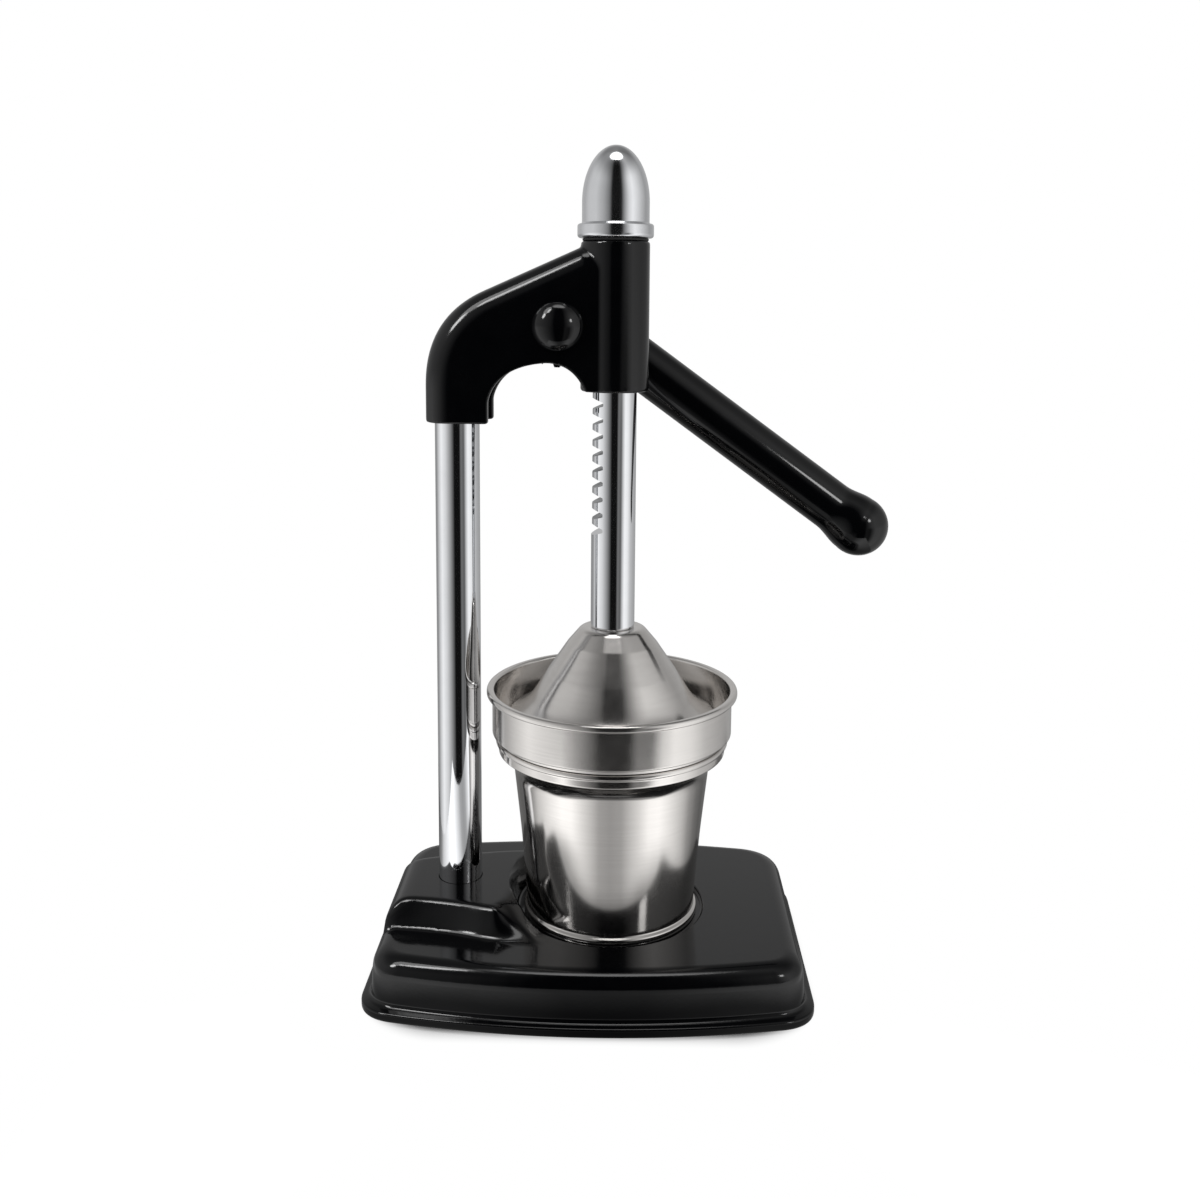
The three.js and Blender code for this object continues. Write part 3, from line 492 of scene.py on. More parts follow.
def make_piece(bm: Solid, name: str) -> bpy.types.Object:
    """Turns a finished mesh into a smooth-shaded object with its sharp edges kept.

    Args:
        bm: The finished mesh.
        name: The object's name.

    Returns:
        The object.
    """
    for face in bm.faces:
        face.smooth = True
    for edge in bm.edges:
        edge.smooth = edge.calc_face_angle(0.0) < SMOOTH_ANGLE
    return to_object(bm, name)


# Shader node helpers


class Nodes:
    """A short way to place and join shader nodes in one tree."""

    def __init__(self, tree: bpy.types.NodeTree) -> None:
        """Keeps the tree that the nodes go into."""
        self.tree = tree

    def add(self, kind: str, **settings: object) -> bpy.types.Node:
        """A new node with its properties set.

        Args:
            kind: The node's type.
            settings: Its properties by their names.

        Returns:
            The node.
        """
        node = self.tree.nodes.new(kind)
        for name, value in settings.items():
            setattr(node, name, value)
        return node

    def join(self, source: Socket, target: Socket) -> None:
        """Joins two sockets."""
        self.tree.links.new(source, target)

    def sum(self, operation: str, first: object, second: object = 0.0,
            third: object = 0.0) -> Socket:
        """A Math node's result.

        Args:
            operation: The name of the sum.
            first: The first value, or a socket that gives it.
            second: The second one.
            third: The third one, where the sum takes it.

        Returns:
            The socket that gives the result.
        """
        node = self.add("ShaderNodeMath", operation=operation)
        for socket, value in zip(node.inputs, (first, second, third)):
            self.put(value, socket)
        return node.outputs[0]

    def put(self, value: object, socket: Socket) -> None:
        """Gives a socket a value, or joins it to the socket that gives the value.

        Args:
            value: The value, or the socket.
            socket: Where it goes.
        """
        if isinstance(value, Socket):
            self.join(value, socket)
        else:
            socket.default_value = value

    def noise(self, vector: Socket, scale: object, detail: float) -> Socket:
        """A noise pattern's value.

        Args:
            vector: Where the pattern is read.
            scale: How fine it is, or the socket that says so.
            detail: How many finer layers lie in it.

        Returns:
            The socket that gives the value.
        """
        node = self.add("ShaderNodeTexNoise")
        self.put(detail, node.inputs["Detail"])
        self.put(scale, node.inputs["Scale"])
        self.join(vector, node.inputs["Vector"])
        return node.outputs["Fac"]

    def ramp(self, value: Socket, low: float, high: float, out_low: object = 0.0,
             out_high: object = 1.0) -> Socket:
        """A value carried smoothly from one range to another.

        Args:
            value: The value to carry over.
            low: Where its range starts.
            high: Where its range ends.
            out_low: What the start becomes.
            out_high: What the end becomes.

        Returns:
            The socket that gives the result.
        """
        node = self.add("ShaderNodeMapRange", interpolation_type="SMOOTHSTEP")
        given = {"Value": value, "From Min": low, "From Max": high, "To Min": out_low, "To Max": out_high}
        for name, number in given.items():
            self.put(number, node.inputs[name])
        return node.outputs["Result"]

    def mixed(self, share: Socket, first: Colour, second: Colour) -> Socket:
        """Two colours mixed by a share.

        Args:
            share: The second colour's share.
            first: The first colour.
            second: The second colour.

        Returns:
            The socket that gives the colour.
        """
        node = self.add("ShaderNodeMix", data_type="RGBA")
        self.join(share, node.inputs["Factor"])
        node.inputs[6].default_value = (*first, 1.0)
        node.inputs[7].default_value = (*second, 1.0)
        return node.outputs[2]

    def levels(self, share: Socket, stops: Sequence[Point]) -> Socket:
        """A level that changes round the horizon.

        Args:
            share: The direction as a share of the full turn, where a half is straight ahead.
            stops: Angles in degrees with their levels, from -180 to 180.

        Returns:
            The socket that gives the level.
        """
        ramp = self.add("ShaderNodeValToRGB")
        self.join(share, ramp.inputs["Fac"])
        elements = ramp.color_ramp.elements
        for angle, level in stops[1:-1]:
            elements.new(angle / 360.0 + 0.5).color = (level, level, level, 1.0)
        for element, (_, level) in ((elements[0], stops[0]), (elements[-1], stops[-1])):
            element.color = (level, level, level, 1.0)
        return ramp.outputs["Color"]


def new_group(name: str, numbers: Sequence[str], outputs: Sequence[str]) -> bpy.types.NodeTree:
    """An empty shader group with a Vector input, number inputs and number outputs.

    Args:
        name: The group's name.
        numbers: The names of its number inputs.
        outputs: The names of its outputs.

    Returns:
        The group's tree.
    """
    tree = bpy.data.node_groups.new(name, "ShaderNodeTree")
    tree.interface.new_socket("Vector", in_out="INPUT", socket_type="NodeSocketVector")
    for number in numbers:
        tree.interface.new_socket(number, in_out="INPUT", socket_type="NodeSocketFloat")
    for output in outputs:
        tree.interface.new_socket(output, in_out="OUTPUT", socket_type="NodeSocketFloat")
    return tree


def handling_group() -> bpy.types.NodeTree:
    """Soft patches where hands and cloths have dulled a surface, as a share from 0 to 1.

    Returns:
        The group's tree.
    """
    tree = new_group("handling marks", ("Scale", "Contrast"), ("Share",))
    nodes = Nodes(tree)
    source, target = nodes.add("NodeGroupInput"), nodes.add("NodeGroupOutput")
    spot_scale, spot_share = 6.3, 0.35
    broad = nodes.noise(source.outputs["Vector"], source.outputs["Scale"], 3.0)
    finer = nodes.sum("MULTIPLY", source.outputs["Scale"], spot_scale)
    spots = nodes.noise(source.outputs["Vector"], finer, 4.0)
    both = nodes.sum("MULTIPLY_ADD", spots, spot_share, nodes.sum("MULTIPLY", broad, 1.0 - spot_share))
    centred = nodes.sum("SUBTRACT", both, 0.5)
    share = nodes.sum("MULTIPLY_ADD", centred, source.outputs["Contrast"], 0.5)
    nodes.join(share, target.inputs["Share"])
    return tree


def brushing_group() -> bpy.types.NodeTree:
    """Fine lines that run round the Z axis, as a polishing belt leaves on turned steel.

    Returns:
        The group's tree.
    """
    tree = new_group("brushed rings", ("Scale",), ("Line",))
    nodes = Nodes(tree)
    source, target = nodes.add("NodeGroupInput"), nodes.add("NodeGroupOutput")
    parts = nodes.add("ShaderNodeSeparateXYZ")
    nodes.join(source.outputs["Vector"], parts.inputs[0])
    x, y, z = parts.outputs
    smallest_radius, round_scale = 1e-4, 1.6
    squares = nodes.sum("ADD", nodes.sum("MULTIPLY", x, x), nodes.sum("MULTIPLY", y, y))
    radius = nodes.sum("MAXIMUM", nodes.sum("SQRT", squares), smallest_radius)
    along = nodes.sum("MULTIPLY", nodes.sum("ADD", z, radius), source.outputs["Scale"])
    spokes = nodes.add("ShaderNodeCombineXYZ")
    for part, target_socket in zip((x, y), spokes.inputs):
        spoke = nodes.sum("DIVIDE", part, radius)
        nodes.join(nodes.sum("MULTIPLY", spoke, round_scale), target_socket)
    nodes.join(along, spokes.inputs[2])
    nodes.join(nodes.noise(spokes.outputs[0], 1.0, 3.0), target.inputs["Line"])
    return tree


def peel_group() -> bpy.types.NodeTree:
    """The faint pebbling of sprayed enamel, as a height from 0 to 1.

    Returns:
        The group's tree.
    """
    tree = new_group("orange peel", ("Scale",), ("Height",))
    nodes = Nodes(tree)
    source, target = nodes.add("NodeGroupInput"), nodes.add("NodeGroupOutput")
    wide_scale, wide_height = 0.22, 1.4
    fine = nodes.noise(source.outputs["Vector"], source.outputs["Scale"], 1.0)
    wider = nodes.sum("MULTIPLY", source.outputs["Scale"], wide_scale)
    wide = nodes.noise(source.outputs["Vector"], wider, 1.0)
    nodes.join(nodes.sum("MULTIPLY_ADD", wide, wide_height, fine), target.inputs["Height"])
    return tree


@dataclass
class Effects:
    """The shader groups that several finishes share."""

    handling: bpy.types.NodeTree = field(default_factory=handling_group)
    brushing: bpy.types.NodeTree = field(default_factory=brushing_group)
    peel: bpy.types.NodeTree = field(default_factory=peel_group)


class Surface:
    """A material in the making: its shader, its coordinates and the groups placed in it."""

    def __init__(self, name: str, centre: Vector | None = None) -> None:
        """Starts a material.

        Args:
            name: The material's name.
            centre: Where patterns are centred, or nothing for the origin.
        """
        self.material = bpy.data.materials.new(name)
        self.material.use_nodes = True
        self.nodes = Nodes(self.material.node_tree)
        self.shader = self.material.node_tree.nodes["Principled BSDF"]
        mapping = self.nodes.add("ShaderNodeMapping")
        mapping.inputs["Location"].default_value = -(centre or Vector())
        self.nodes.join(self.nodes.add("ShaderNodeTexCoord").outputs["Object"], mapping.inputs["Vector"])
        self.vector = mapping.outputs["Vector"]

    def set(self, **values: object) -> None:
        """Sets constant sockets of the shader; underscores in a name stand for spaces."""
        for name, value in values.items():
            self.shader.inputs[name.replace("_", " ")].default_value = value

    def feed(self, source: Socket, name: str) -> None:
        """Joins a result to one of the shader's sockets."""
        self.nodes.join(source, self.shader.inputs[name])

    def group(self, tree: bpy.types.NodeTree, **values: float) -> Socket:
        """Places a shared group with its own values and gives its first output.

        Args:
            tree: The group.
            values: Its inputs' values by their names.

        Returns:
            The socket of its first output.
        """
        node = self.nodes.add("ShaderNodeGroup", node_tree=tree)
        self.nodes.join(self.vector, node.inputs["Vector"])
        for name, value in values.items():
            node.inputs[name].default_value = value
        return node.outputs[0]

    def bump(self, height: Socket, distance: float, strength: float = 1.0) -> None:
        """Raises the surface by a height pattern.

        Args:
            height: The height pattern.
            distance: How high a height of 1 stands.
            strength: How much of it is taken.
        """
        node = self.nodes.add("ShaderNodeBump")
        node.inputs["Distance"].default_value = distance
        node.inputs["Strength"].default_value = strength
        self.nodes.join(height, node.inputs["Height"])
        self.feed(node.outputs["Normal"], "Normal")


# Finishes


@dataclass(frozen=True)
class Finish:
    """What every finish has: a colour and a gloss that handling has changed in patches."""

    name: str
    clean: Colour
    marked: Colour
    smooth: float
    dull: float
    mark_scale: float
    mark_contrast: float
    span: Pair = (0.2, 0.8)
    metal: bool = False
    centre: Vector | None = None

    def build(self, effects: Effects) -> bpy.types.Material:
        """Makes the material.

        Args:
            effects: The shared shader groups.

        Returns:
            The material.
        """
        surface = Surface(self.name, self.centre)
        surface.set(Metallic=float(self.metal))
        marks = surface.group(effects.handling, Scale=self.mark_scale, Contrast=self.mark_contrast)
        surface.feed(surface.nodes.ramp(marks, *self.span, self.smooth, self.dull), "Roughness")
        self.detail(surface, effects)
        if not surface.shader.inputs["Base Color"].is_linked:
            surface.feed(surface.nodes.mixed(marks, self.clean, self.marked), "Base Color")
        return surface.material

    def detail(self, surface: Surface, effects: Effects) -> None:
        """Adds what one finish alone has; a plain one has nothing."""


@dataclass(frozen=True)
class GlossBlack(Finish):
    """Sprayed black enamel, or moulded black with the same gloss."""

    clean: Colour = (0.0005, 0.0006, 0.0009)
    marked: Colour = (0.0013, 0.0014, 0.0018)
    smooth: float = 0.085
    dull: float = 0.13
    mark_scale: float = 28.0
    mark_contrast: float = 2.2
    specular: float = 0.4
    peel_scale: float = 520.0
    peel_height: float = 0.000012

    def detail(self, surface: Surface, effects: Effects) -> None:
        """Adds the faint pebbling."""
        surface.set(Specular_IOR_Level=self.specular)
        surface.bump(surface.group(effects.peel, Scale=self.peel_scale), self.peel_height)


@dataclass(frozen=True)
class Plate(Finish):
    """Polished plating with faint wiping marks."""

    clean: Colour = (0.87, 0.88, 0.9)
    marked: Colour = (0.8, 0.81, 0.83)
    smooth: float = 0.035
    dull: float = 0.085
    mark_scale: float = 34.0
    mark_contrast: float = 2.0
    span: Pair = (0.3, 0.9)
    metal: bool = True


@dataclass(frozen=True)
class Brushed(Finish):
    """Stainless steel brushed round its axis: its lines take the place of marks in its colour."""

    clean: Colour = (0.73, 0.705, 0.68)
    marked: Colour = (0.82, 0.795, 0.77)
    smooth: float = 0.16
    dull: float = 0.23
    mark_scale: float = 22.0
    mark_contrast: float = 1.6
    span: Pair = (0.25, 0.85)
    metal: bool = True
    anisotropy: float = 0.85
    turned_by: float = 0.25
    line_scale: float = 1400.0
    line_height: float = 0.0000006

    def detail(self, surface: Surface, effects: Effects) -> None:
        """Adds the lines, and the gloss that is drawn out across them.

        Args:
            surface: The material in the making.
            effects: The shared shader groups.
        """
        surface.set(Anisotropic=self.anisotropy, Anisotropic_Rotation=self.turned_by)
        lines = surface.group(effects.brushing, Scale=self.line_scale)
        surface.feed(surface.nodes.mixed(lines, self.clean, self.marked), "Base Color")
        tangent = surface.nodes.add("ShaderNodeTangent", direction_type="RADIAL", axis="Z")
        surface.feed(tangent.outputs["Tangent"], "Tangent")
        surface.bump(lines, self.line_height)


@dataclass(frozen=True)
class Machined(Finish):
    """Plain metal with a fine grain: steel, zinc plate or sintered bronze."""

    mark_scale: float = 60.0
    mark_contrast: float = 2.6
    metal: bool = True
    grain_scale: float = 900.0
    grain_height: float = 0.00001

    def detail(self, surface: Surface, effects: Effects) -> None:
        """Adds the grain."""
        surface.bump(surface.group(effects.peel, Scale=self.grain_scale), self.grain_height)


@dataclass(frozen=True)
class Rubber(Finish):
    """Matt black rubber with a fine moulded grain."""

    clean: Colour = (0.012, 0.012, 0.012)
    marked: Colour = (0.03, 0.029, 0.028)
    smooth: float = 0.62
    dull: float = 0.8
    mark_scale: float = 120.0
    mark_contrast: float = 2.0
    grain_scale: float = 1500.0
    grain_height: float = 0.00003

    def detail(self, surface: Surface, effects: Effects) -> None:
        """Adds the grain."""
        surface.bump(surface.group(effects.peel, Scale=self.grain_scale), self.grain_height)


class Palette:
    """Every finish of the press, built once, by the record's slot names."""

    def __init__(self, axis: Vector) -> None:
        """Builds the finishes.

        Args:
            axis: The press axis, which the brushed rings run round.
        """
        finishes = {
            "enamel": GlossBlack("black enamel"),
            "black_plastic": GlossBlack("black plastic", peel_scale=300.0, peel_height=0.00001),
            "chrome": Plate("chrome"),
            "cap_chrome": Plate("cap chrome", smooth=0.1, dull=0.14),
            "brushed_stainless": Brushed("brushed stainless", centre=axis),
            "cup_stainless": Brushed("cup stainless", centre=axis, smooth=0.1, dull=0.14, anisotropy=0.6),
            "steel": Machined("machined steel", (0.42, 0.43, 0.44), (0.27, 0.28, 0.29), 0.28, 0.42),
            # Steel painted dark as shade: the pinion under the arch gets this much darker colour so that it
            # reads as shaded.
            "dark_steel": Machined("darkened steel", (0.07, 0.07, 0.075), (0.04, 0.04, 0.042), 0.3, 0.45),
            "zinc": Machined("zinc plate", (0.58, 0.59, 0.6), (0.44, 0.45, 0.47), 0.32, 0.48),
            "bronze": Machined("sintered bronze", (0.5, 0.33, 0.15), (0.32, 0.2, 0.09), 0.4, 0.55),
            "rubber": Rubber("rubber"),
        }
        effects = Effects()
        self.materials = {slot: finish.build(effects) for slot, finish in finishes.items()}

    def dress(self, piece: bpy.types.Object, slot: str) -> None:
        """Gives an object one of the finishes, in every slot that it has.

        Args:
            piece: The object.
            slot: The finish's name.
        """
        if not piece.material_slots:
            piece.data.materials.append(None)
        for place in piece.material_slots:
            place.material = self.materials[slot]


class Workshop:
    """Finishes pieces: gives them their material, body and node, and reports them."""

    def __init__(self, palette: Palette) -> None:
        """Keeps the finishes, and which body each node is on.

        Args:
            palette: The finishes.
        """
        self.palette = palette
        bodies = frame["record"]["behaviour"]["bodies"]
        self.body_of = {node: body for body, nodes in bodies.items() for node in nodes}
        self.slot_of = {part["node"]: part["material_slot"] for part in frame["record"]["subparts"]}

    def replace(self, bm: Solid, name: str, node: str, finish: str = "") -> bpy.types.Object:
        """A finished piece that stands for a node, with the node's finish and body.

        Args:
            bm: The piece's mesh.
            name: The piece's name.
            node: The CAD node that it stands for.
            finish: A finish of its own, where the slot's finish isn't close enough.

        Returns:
            The piece.
        """
        piece = make_piece(bm, name)
        self.palette.dress(piece, finish or self.slot_of[node])
        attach(piece, self.body_of[node])
        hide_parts(node)
        log.info("%s stands for %s: %d faces", name, node, len(piece.data.polygons))
        return piece

    def keep(self, *nodes: str, finish: str = "") -> None:
        """Gives CAD nodes that stay as they are their detailed finish.

        Args:
            nodes: The nodes.
            finish: A finish of their own, where the slot's finish isn't close enough.
        """
        for node in nodes:
            self.palette.dress(frame["nodes"][node], finish or self.slot_of[node])
            log.info("%s is kept", node)


# Fixings that several assemblies use


def ring_solid(outer: float, inner: float, low: float, high: float, edge: float,
               segments: int = SMALL_SEGMENTS) -> Solid:
    """A flat ring with rounded edges about +Z.

    Args:
        outer: Its outer radius.
        inner: Its bore's radius.
        low: Where it starts.
        high: Where it ends.
        edge: The rounding of its edges.
        segments: How many steps make the full turn.

    Returns:
        The ring.
    """
    corners = [Corner(inner, low, edge), Corner(outer, low, edge), Corner(outer, high, edge),
               Corner(inner, high, edge)]
    return turn(rounded(corners, closed=True, steps=3), closed=True, segments=segments)


def rod_solid(radius: float, low: float, high: float, edge: float = 0.0,
              segments: int = SMALL_SEGMENTS) -> Solid:
    """A round bar about +Z with rounded ends; see ring_solid."""
    corners = [Corner(0.0, low), Corner(radius, low, edge), Corner(radius, high, edge), Corner(0.0, high)]
    return turn(rounded(corners, steps=3), segments=segments)


def spindle(steps: Sequence[Point], segments: int = SEGMENTS) -> Solid:
    """A stepped bar about +Z, used as a cutter.

    Args:
        steps: Each step's radius and the height where it starts; the last one only ends the bar.
        segments: How many steps make the full turn.

    Returns:
        The bar.
    """
    profile = [(0.0, steps[0][1])]
    for (radius, low), (_, high) in zip(steps, steps[1:]):
        profile += [(radius, low), (radius, high)]
    return turn([*profile, (0.0, steps[-1][1])], segments=segments)


def hexagon(flats: float, low: float, high: float) -> Solid:
    """A hexagonal bar about +Z.

    Args:
        flats: Its size across the flats.
        low: Where it starts.
        high: Where it ends.

    Returns:
        The bar.
    """
    bm = bmesh.new()
    radius = flats / math.sqrt(3.0)
    bmesh.ops.create_circle(bm, cap_ends=True, segments=6, radius=radius)
    bmesh.ops.translate(bm, verts=bm.verts, vec=(0.0, 0.0, low))
    extruded = bmesh.ops.extrude_face_region(bm, geom=list(bm.faces))
    top = [item for item in extruded["geom"] if isinstance(item, bmesh.types.BMVert)]
    bmesh.ops.translate(bm, verts=top, vec=(0.0, 0.0, high - low))
    bmesh.ops.recalc_face_normals(bm, faces=bm.faces)
    return bm


def hex_nut(flats: float, low: float, high: float, bore: float) -> Solid:
    """A nut, or a bolt's head where the bore is zero, with its corners chamfered as cut ones are.

    Args:
        flats: Its size across the flats.
        low: Where it starts.
        high: Where it ends.
        bore: The radius of its hole.

    Returns:
        The solid.
    """
    tip = flats / math.sqrt(3.0)
    face = NUT_FACE * flats
    chamfer = (tip - face) * NUT_CHAMFER
    limit = turn([(0.0, low), (face, low), (tip, low + chamfer), (tip, high - chamfer), (face, high),
                  (0.0, high)], segments=SMALL_SEGMENTS)
    nut = combined(hexagon(flats, low, high), Join.KEEP, [limit])
    if bore > 0.0:
        nut = combined(nut, Join.CUT, [rod_solid(bore, low - bore, high + bore)])
    return nut


def thread(radius: float, low: float, high: float, pitch: float) -> list[Point]:
    """The flanks of a screw thread as shallow grooves from low to high.

    Args:
        radius: The thread's outer radius.
        low: Where it starts.
        high: Where it ends.
        pitch: The distance from groove to groove.

    Returns:
        The profile's points.
    """
    turns = max(int((high - low) / pitch), 1)
    step = (high - low) / turns
    root = radius - THREAD_DEPTH * step
    points = [(root, low)]
    for index in range(turns):
        start = low + index * step
        points += [(radius, start + share * step) for share in THREAD_CREST]
        points.append((root, start + step))
    return points


def quarter_dome(radius: float, base: float, height: float, steps: int) -> list[Point]:
    """The line of a dome from its foot to its top on the axis.

    Args:
        radius: The radius at its foot.
        base: Where its foot is.
        height: How high it rises.
        steps: How many steps it takes.

    Returns:
        The line's points.
    """
    angles = [QUARTER_TURN * step / steps for step in range(steps)]
    return [*((radius * math.cos(a), base + height * math.sin(a)) for a in angles), (0.0, base + height)]


def facing_back(x: float, z: float) -> Matrix:
    """Turns a solid about +Z so that it points along +Y, on the axis at x and z."""
    return Matrix.Translation((x, 0.0, z)) @ Matrix.Rotation(-QUARTER_TURN, 4, "X")


# Sub-assemblies


@dataclass
class Assembly:
    """A sub-assembly of the press; its finished pieces go through the workshop."""

    shop: Workshop

    def __post_init__(self) -> None:
        """Takes the press axis."""
        self.axis = middle(PRESS_AXIS)

    def placed(self, bm: Solid) -> Solid:
        """A solid about +Z, put on the press axis."""
        return at(bm, self.axis.x, self.axis.y)

    def ring(self, name: str, node: str, bore: float, edge: float = WASHER_EDGE,
             segments: int = SMALL_SEGMENTS) -> None:
        """Builds a sleeve, a guide or a washer that fills its node's box.

        Args:
            name: The piece's name.
            node: The CAD node that it stands for.
            bore: The radius of its hole.
            edge: The rounding of its edges.
            segments: How many steps make the full turn.
        """
        low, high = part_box(node)
        centre = (low + high) / 2.0
        solid = ring_solid((high.x - low.x) / 2.0, bore, low.z, high.z, edge, segments)
        self.shop.replace(at(solid, centre.x, centre.y), name, node)


@dataclass
class Base(Assembly):
    """The enamelled base with its lip, the cup's dish and the hump at the post's foot."""

    front_bow: float = 0.0085
    back_bow: float = 0.006
    front_corner: float = 0.017
    back_corner: float = 0.023
    lip: tuple[Corner, ...] = (
        Corner(0.0078, 0.0010, 0.0004), Corner(0.0, 0.0010, 0.0019), Corner(0.0, 0.0056, 0.0011),
        Corner(0.0042, 0.0064, 0.0024),
    )
    wall_inset: float = 0.0050
    top: float = 0.028
    fillet: float = 0.0085
    rim_inner: float = 0.0085
    roof: float = 0.0245
    dish_radius: float = 0.0462
    dish_floor: float = 0.026
    dish_round: float = 0.0012
    dish_steps: int = 4
    dish_rings: tuple[float, ...] = (1.0, 0.985, 0.6, 0.25, 0.0)
    boss_radius: float = 0.05
    boss_floor: float = 0.0225
    boss_edge: float = 0.0006
    boss_inner: float = 0.02
    skirt_depth: float = 0.006
    roof_inset: float = 0.003
    roof_rings: tuple[float, ...] = (0.02, 0.35, 0.7, 1.0)
    roof_corner: tuple[Point, ...] = ((0.0096, 0.0007), (0.0088, 0.0025))
    flare_width: float = 0.0055
    flare_rise: float = 0.016
    flare_power: float = 0.85
    flare_blend: float = 0.0014
    hump_top: float = 0.041
    hump_foot: float = 0.026
    hump_inset: float = 0.0068
    hump_fillet: float = 0.0135
    hump_fall: float = 0.01
    hump_round: float = 0.004
    blend: float = 0.002
    hump_box: tuple[float, float, float, float] = (-0.1147, -0.031, -0.046, 0.038)
    foot_shares: tuple[Point, ...] = (
        (0.0, 0.2), (0.42, 0.125), (0.67, 0.05), (0.98, 0.0), (1.0, 0.2), (1.0, 0.85), (0.83, 1.0),
        (0.3, 0.93), (0.0, 0.79),
    )
    top_shares: tuple[Point, ...] = (
        (0.0, 0.23), (0.3, 0.245), (0.69, 0.17), (0.71, 0.18), (0.77, 0.31), (0.84, 0.81),
        (0.8, 0.89), (0.32, 0.79), (0.0, 0.61),
    )
    ramp_share: float = 1.1
    crease: float = 0.0018
    crease_rings: tuple[tuple[float, int], ...] = ((1.0, 12), (0.5, 6))
    side_steps: tuple[int, int, int, int] = (150, 30, 60, 34)
    fine_rows: tuple[float, int] = (0.0003, 36)
    wide_rows: tuple[float, int] = (0.0009, 10)
    inner_rows: int = 62
    post_hole: float = 0.01095
    post_hole_past: float = 0.01
    bolt_hole: float = 0.0043
    bolt_hole_past: float = 0.003
    socket_radius: float = 0.017
    socket_floor: float = 0.0043
    socket_root: float = 0.004
    screw_boss: float = 0.0105
    screw_boss_root: float = 0.001

    def __post_init__(self) -> None:
        """Takes the base's outline in plan from its node, about the press axis."""
        low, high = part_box("base_casting")
        super().__post_init__()
        self.left, self.right = low.x - self.axis.x, high.x - self.axis.x
        self.front, self.back = low.y - self.axis.y, high.y - self.axis.y

    def outline(self, inset: float) -> list[Point]:
        """The outline in plan, drawn in by an inset, from its front left corner round.

        Args:
            inset: How far it is drawn in.

        Returns:
            The outline's points.
        """
        left, right = self.left + inset, self.right - inset
        front, back = self.front + inset, self.back - inset
        centre, width = (left + right) / 2.0, self.right - self.left
        near, far = self.front_corner - inset / 2.0, self.back_corner - inset / 2.0
        side_front = front + self.front_bow + 4.0 * self.front_bow * near / width
        side_back = back - self.back_bow - 4.0 * self.back_bow * far / width
        bows, nears, sides, fars = self.side_steps
        marks = [
            (left + near, front + self.front_bow), (right - near, front + self.front_bow),
            (right, side_front + near), (right, side_back - far), (right - far, back - self.back_bow),
            (left + far, back - self.back_bow), (left, side_back - far), (left, side_front + near),
        ]
        pulls = [
            (centre, front - self.front_bow), (right, side_front),
            (right, (marks[2][1] + marks[3][1]) / 2.0), (right, side_back),
            (centre, back + self.back_bow), (left, side_back),
            (left, (marks[6][1] + marks[7][1]) / 2.0), (left, side_front),
        ]
        points = []
        for index, steps in enumerate((bows, nears, sides, fars, bows, fars, sides, nears)):
            points += bow(marks[index], pulls[index], marks[(index + 1) % len(marks)], steps)
        return points

    def hump_line(self, shares: Sequence[Point]) -> np.ndarray:
        """One of the hump's outlines in plan as a smooth closed curve.

        Args:
            shares: The outline's corners as shares of the hump's box.

        Returns:
            The curve's points.
        """
        left, right, front, back = self.hump_box
        corners = [(left + (right - left) * a, front + (back - front) * b) for a, b in shares]
        corners[0] = (left - self.hump_fillet, corners[0][1])
        corners[-1] = (left - self.hump_fillet, corners[-1][1])
        return np.array(flowing(corners, 8))

    @staticmethod
    def depth_in(x: np.ndarray, y: np.ndarray, line: np.ndarray) -> np.ndarray:
        """How far points lie inside a closed line in plan; less than zero outside.

        Args:
            x: The points' X.
            y: The points' Y.
            line: The line's corners.

        Returns:
            The distance of each point to the line, with its sign.
        """
        following = np.roll(line, -1, axis=0)
        nearest = np.full(x.shape, 1.0)
        inside = np.zeros(x.shape, dtype=bool)
        for (ax, ay), (bx, by) in zip(line, following):
            ex, ey = bx - ax, by - ay
            length = max(ex * ex + ey * ey, 1e-12)
            t = np.clip(((x - ax) * ex + (y - ay) * ey) / length, 0.0, 1.0)
            nearest = np.minimum(nearest, np.hypot(x - ax - t * ex, y - ay - t * ey))
            if ay != by:
                crosses = ((ay > y) != (by > y)) & (x < (bx - ax) * (y - ay) / (by - ay) + ax)
                inside ^= crosses
        return np.where(inside, nearest, -nearest)

    @staticmethod
    def arch(inset: np.ndarray, start: float, radius: float, top: float) -> np.ndarray:
        """The height of a rounded edge at an inset: a quarter round that ends level."""
        reach = np.clip((radius - (inset - start)) / radius, 0.0, 1.0)
        return top - radius * (1.0 - np.sqrt(1.0 - reach * reach))

    def hump_height(self, x: np.ndarray, y: np.ndarray) -> np.ndarray:
        """The hump's height over the plan, without the rounding along the base's side.

        Args:
            x: The points' X from the press axis.
            y: The points' Y from the press axis.

        Returns:
            The heights.
        """
        inner = self.depth_in(x, y, self.hump_line(self.foot_shares))
        outer = -self.depth_in(x, y, self.hump_line(self.top_shares))
        share = np.where(outer <= 0.0, 1.0, inner / np.maximum(inner + outer, TINY))
        share = np.where(inner < 0.0, inner / self.hump_fall, share)
        ramp = self.hump_foot + (self.hump_top - self.hump_foot) * self.ramp_share * share
        return smooth_min(ramp, np.full(x.shape, self.hump_top), self.hump_round)

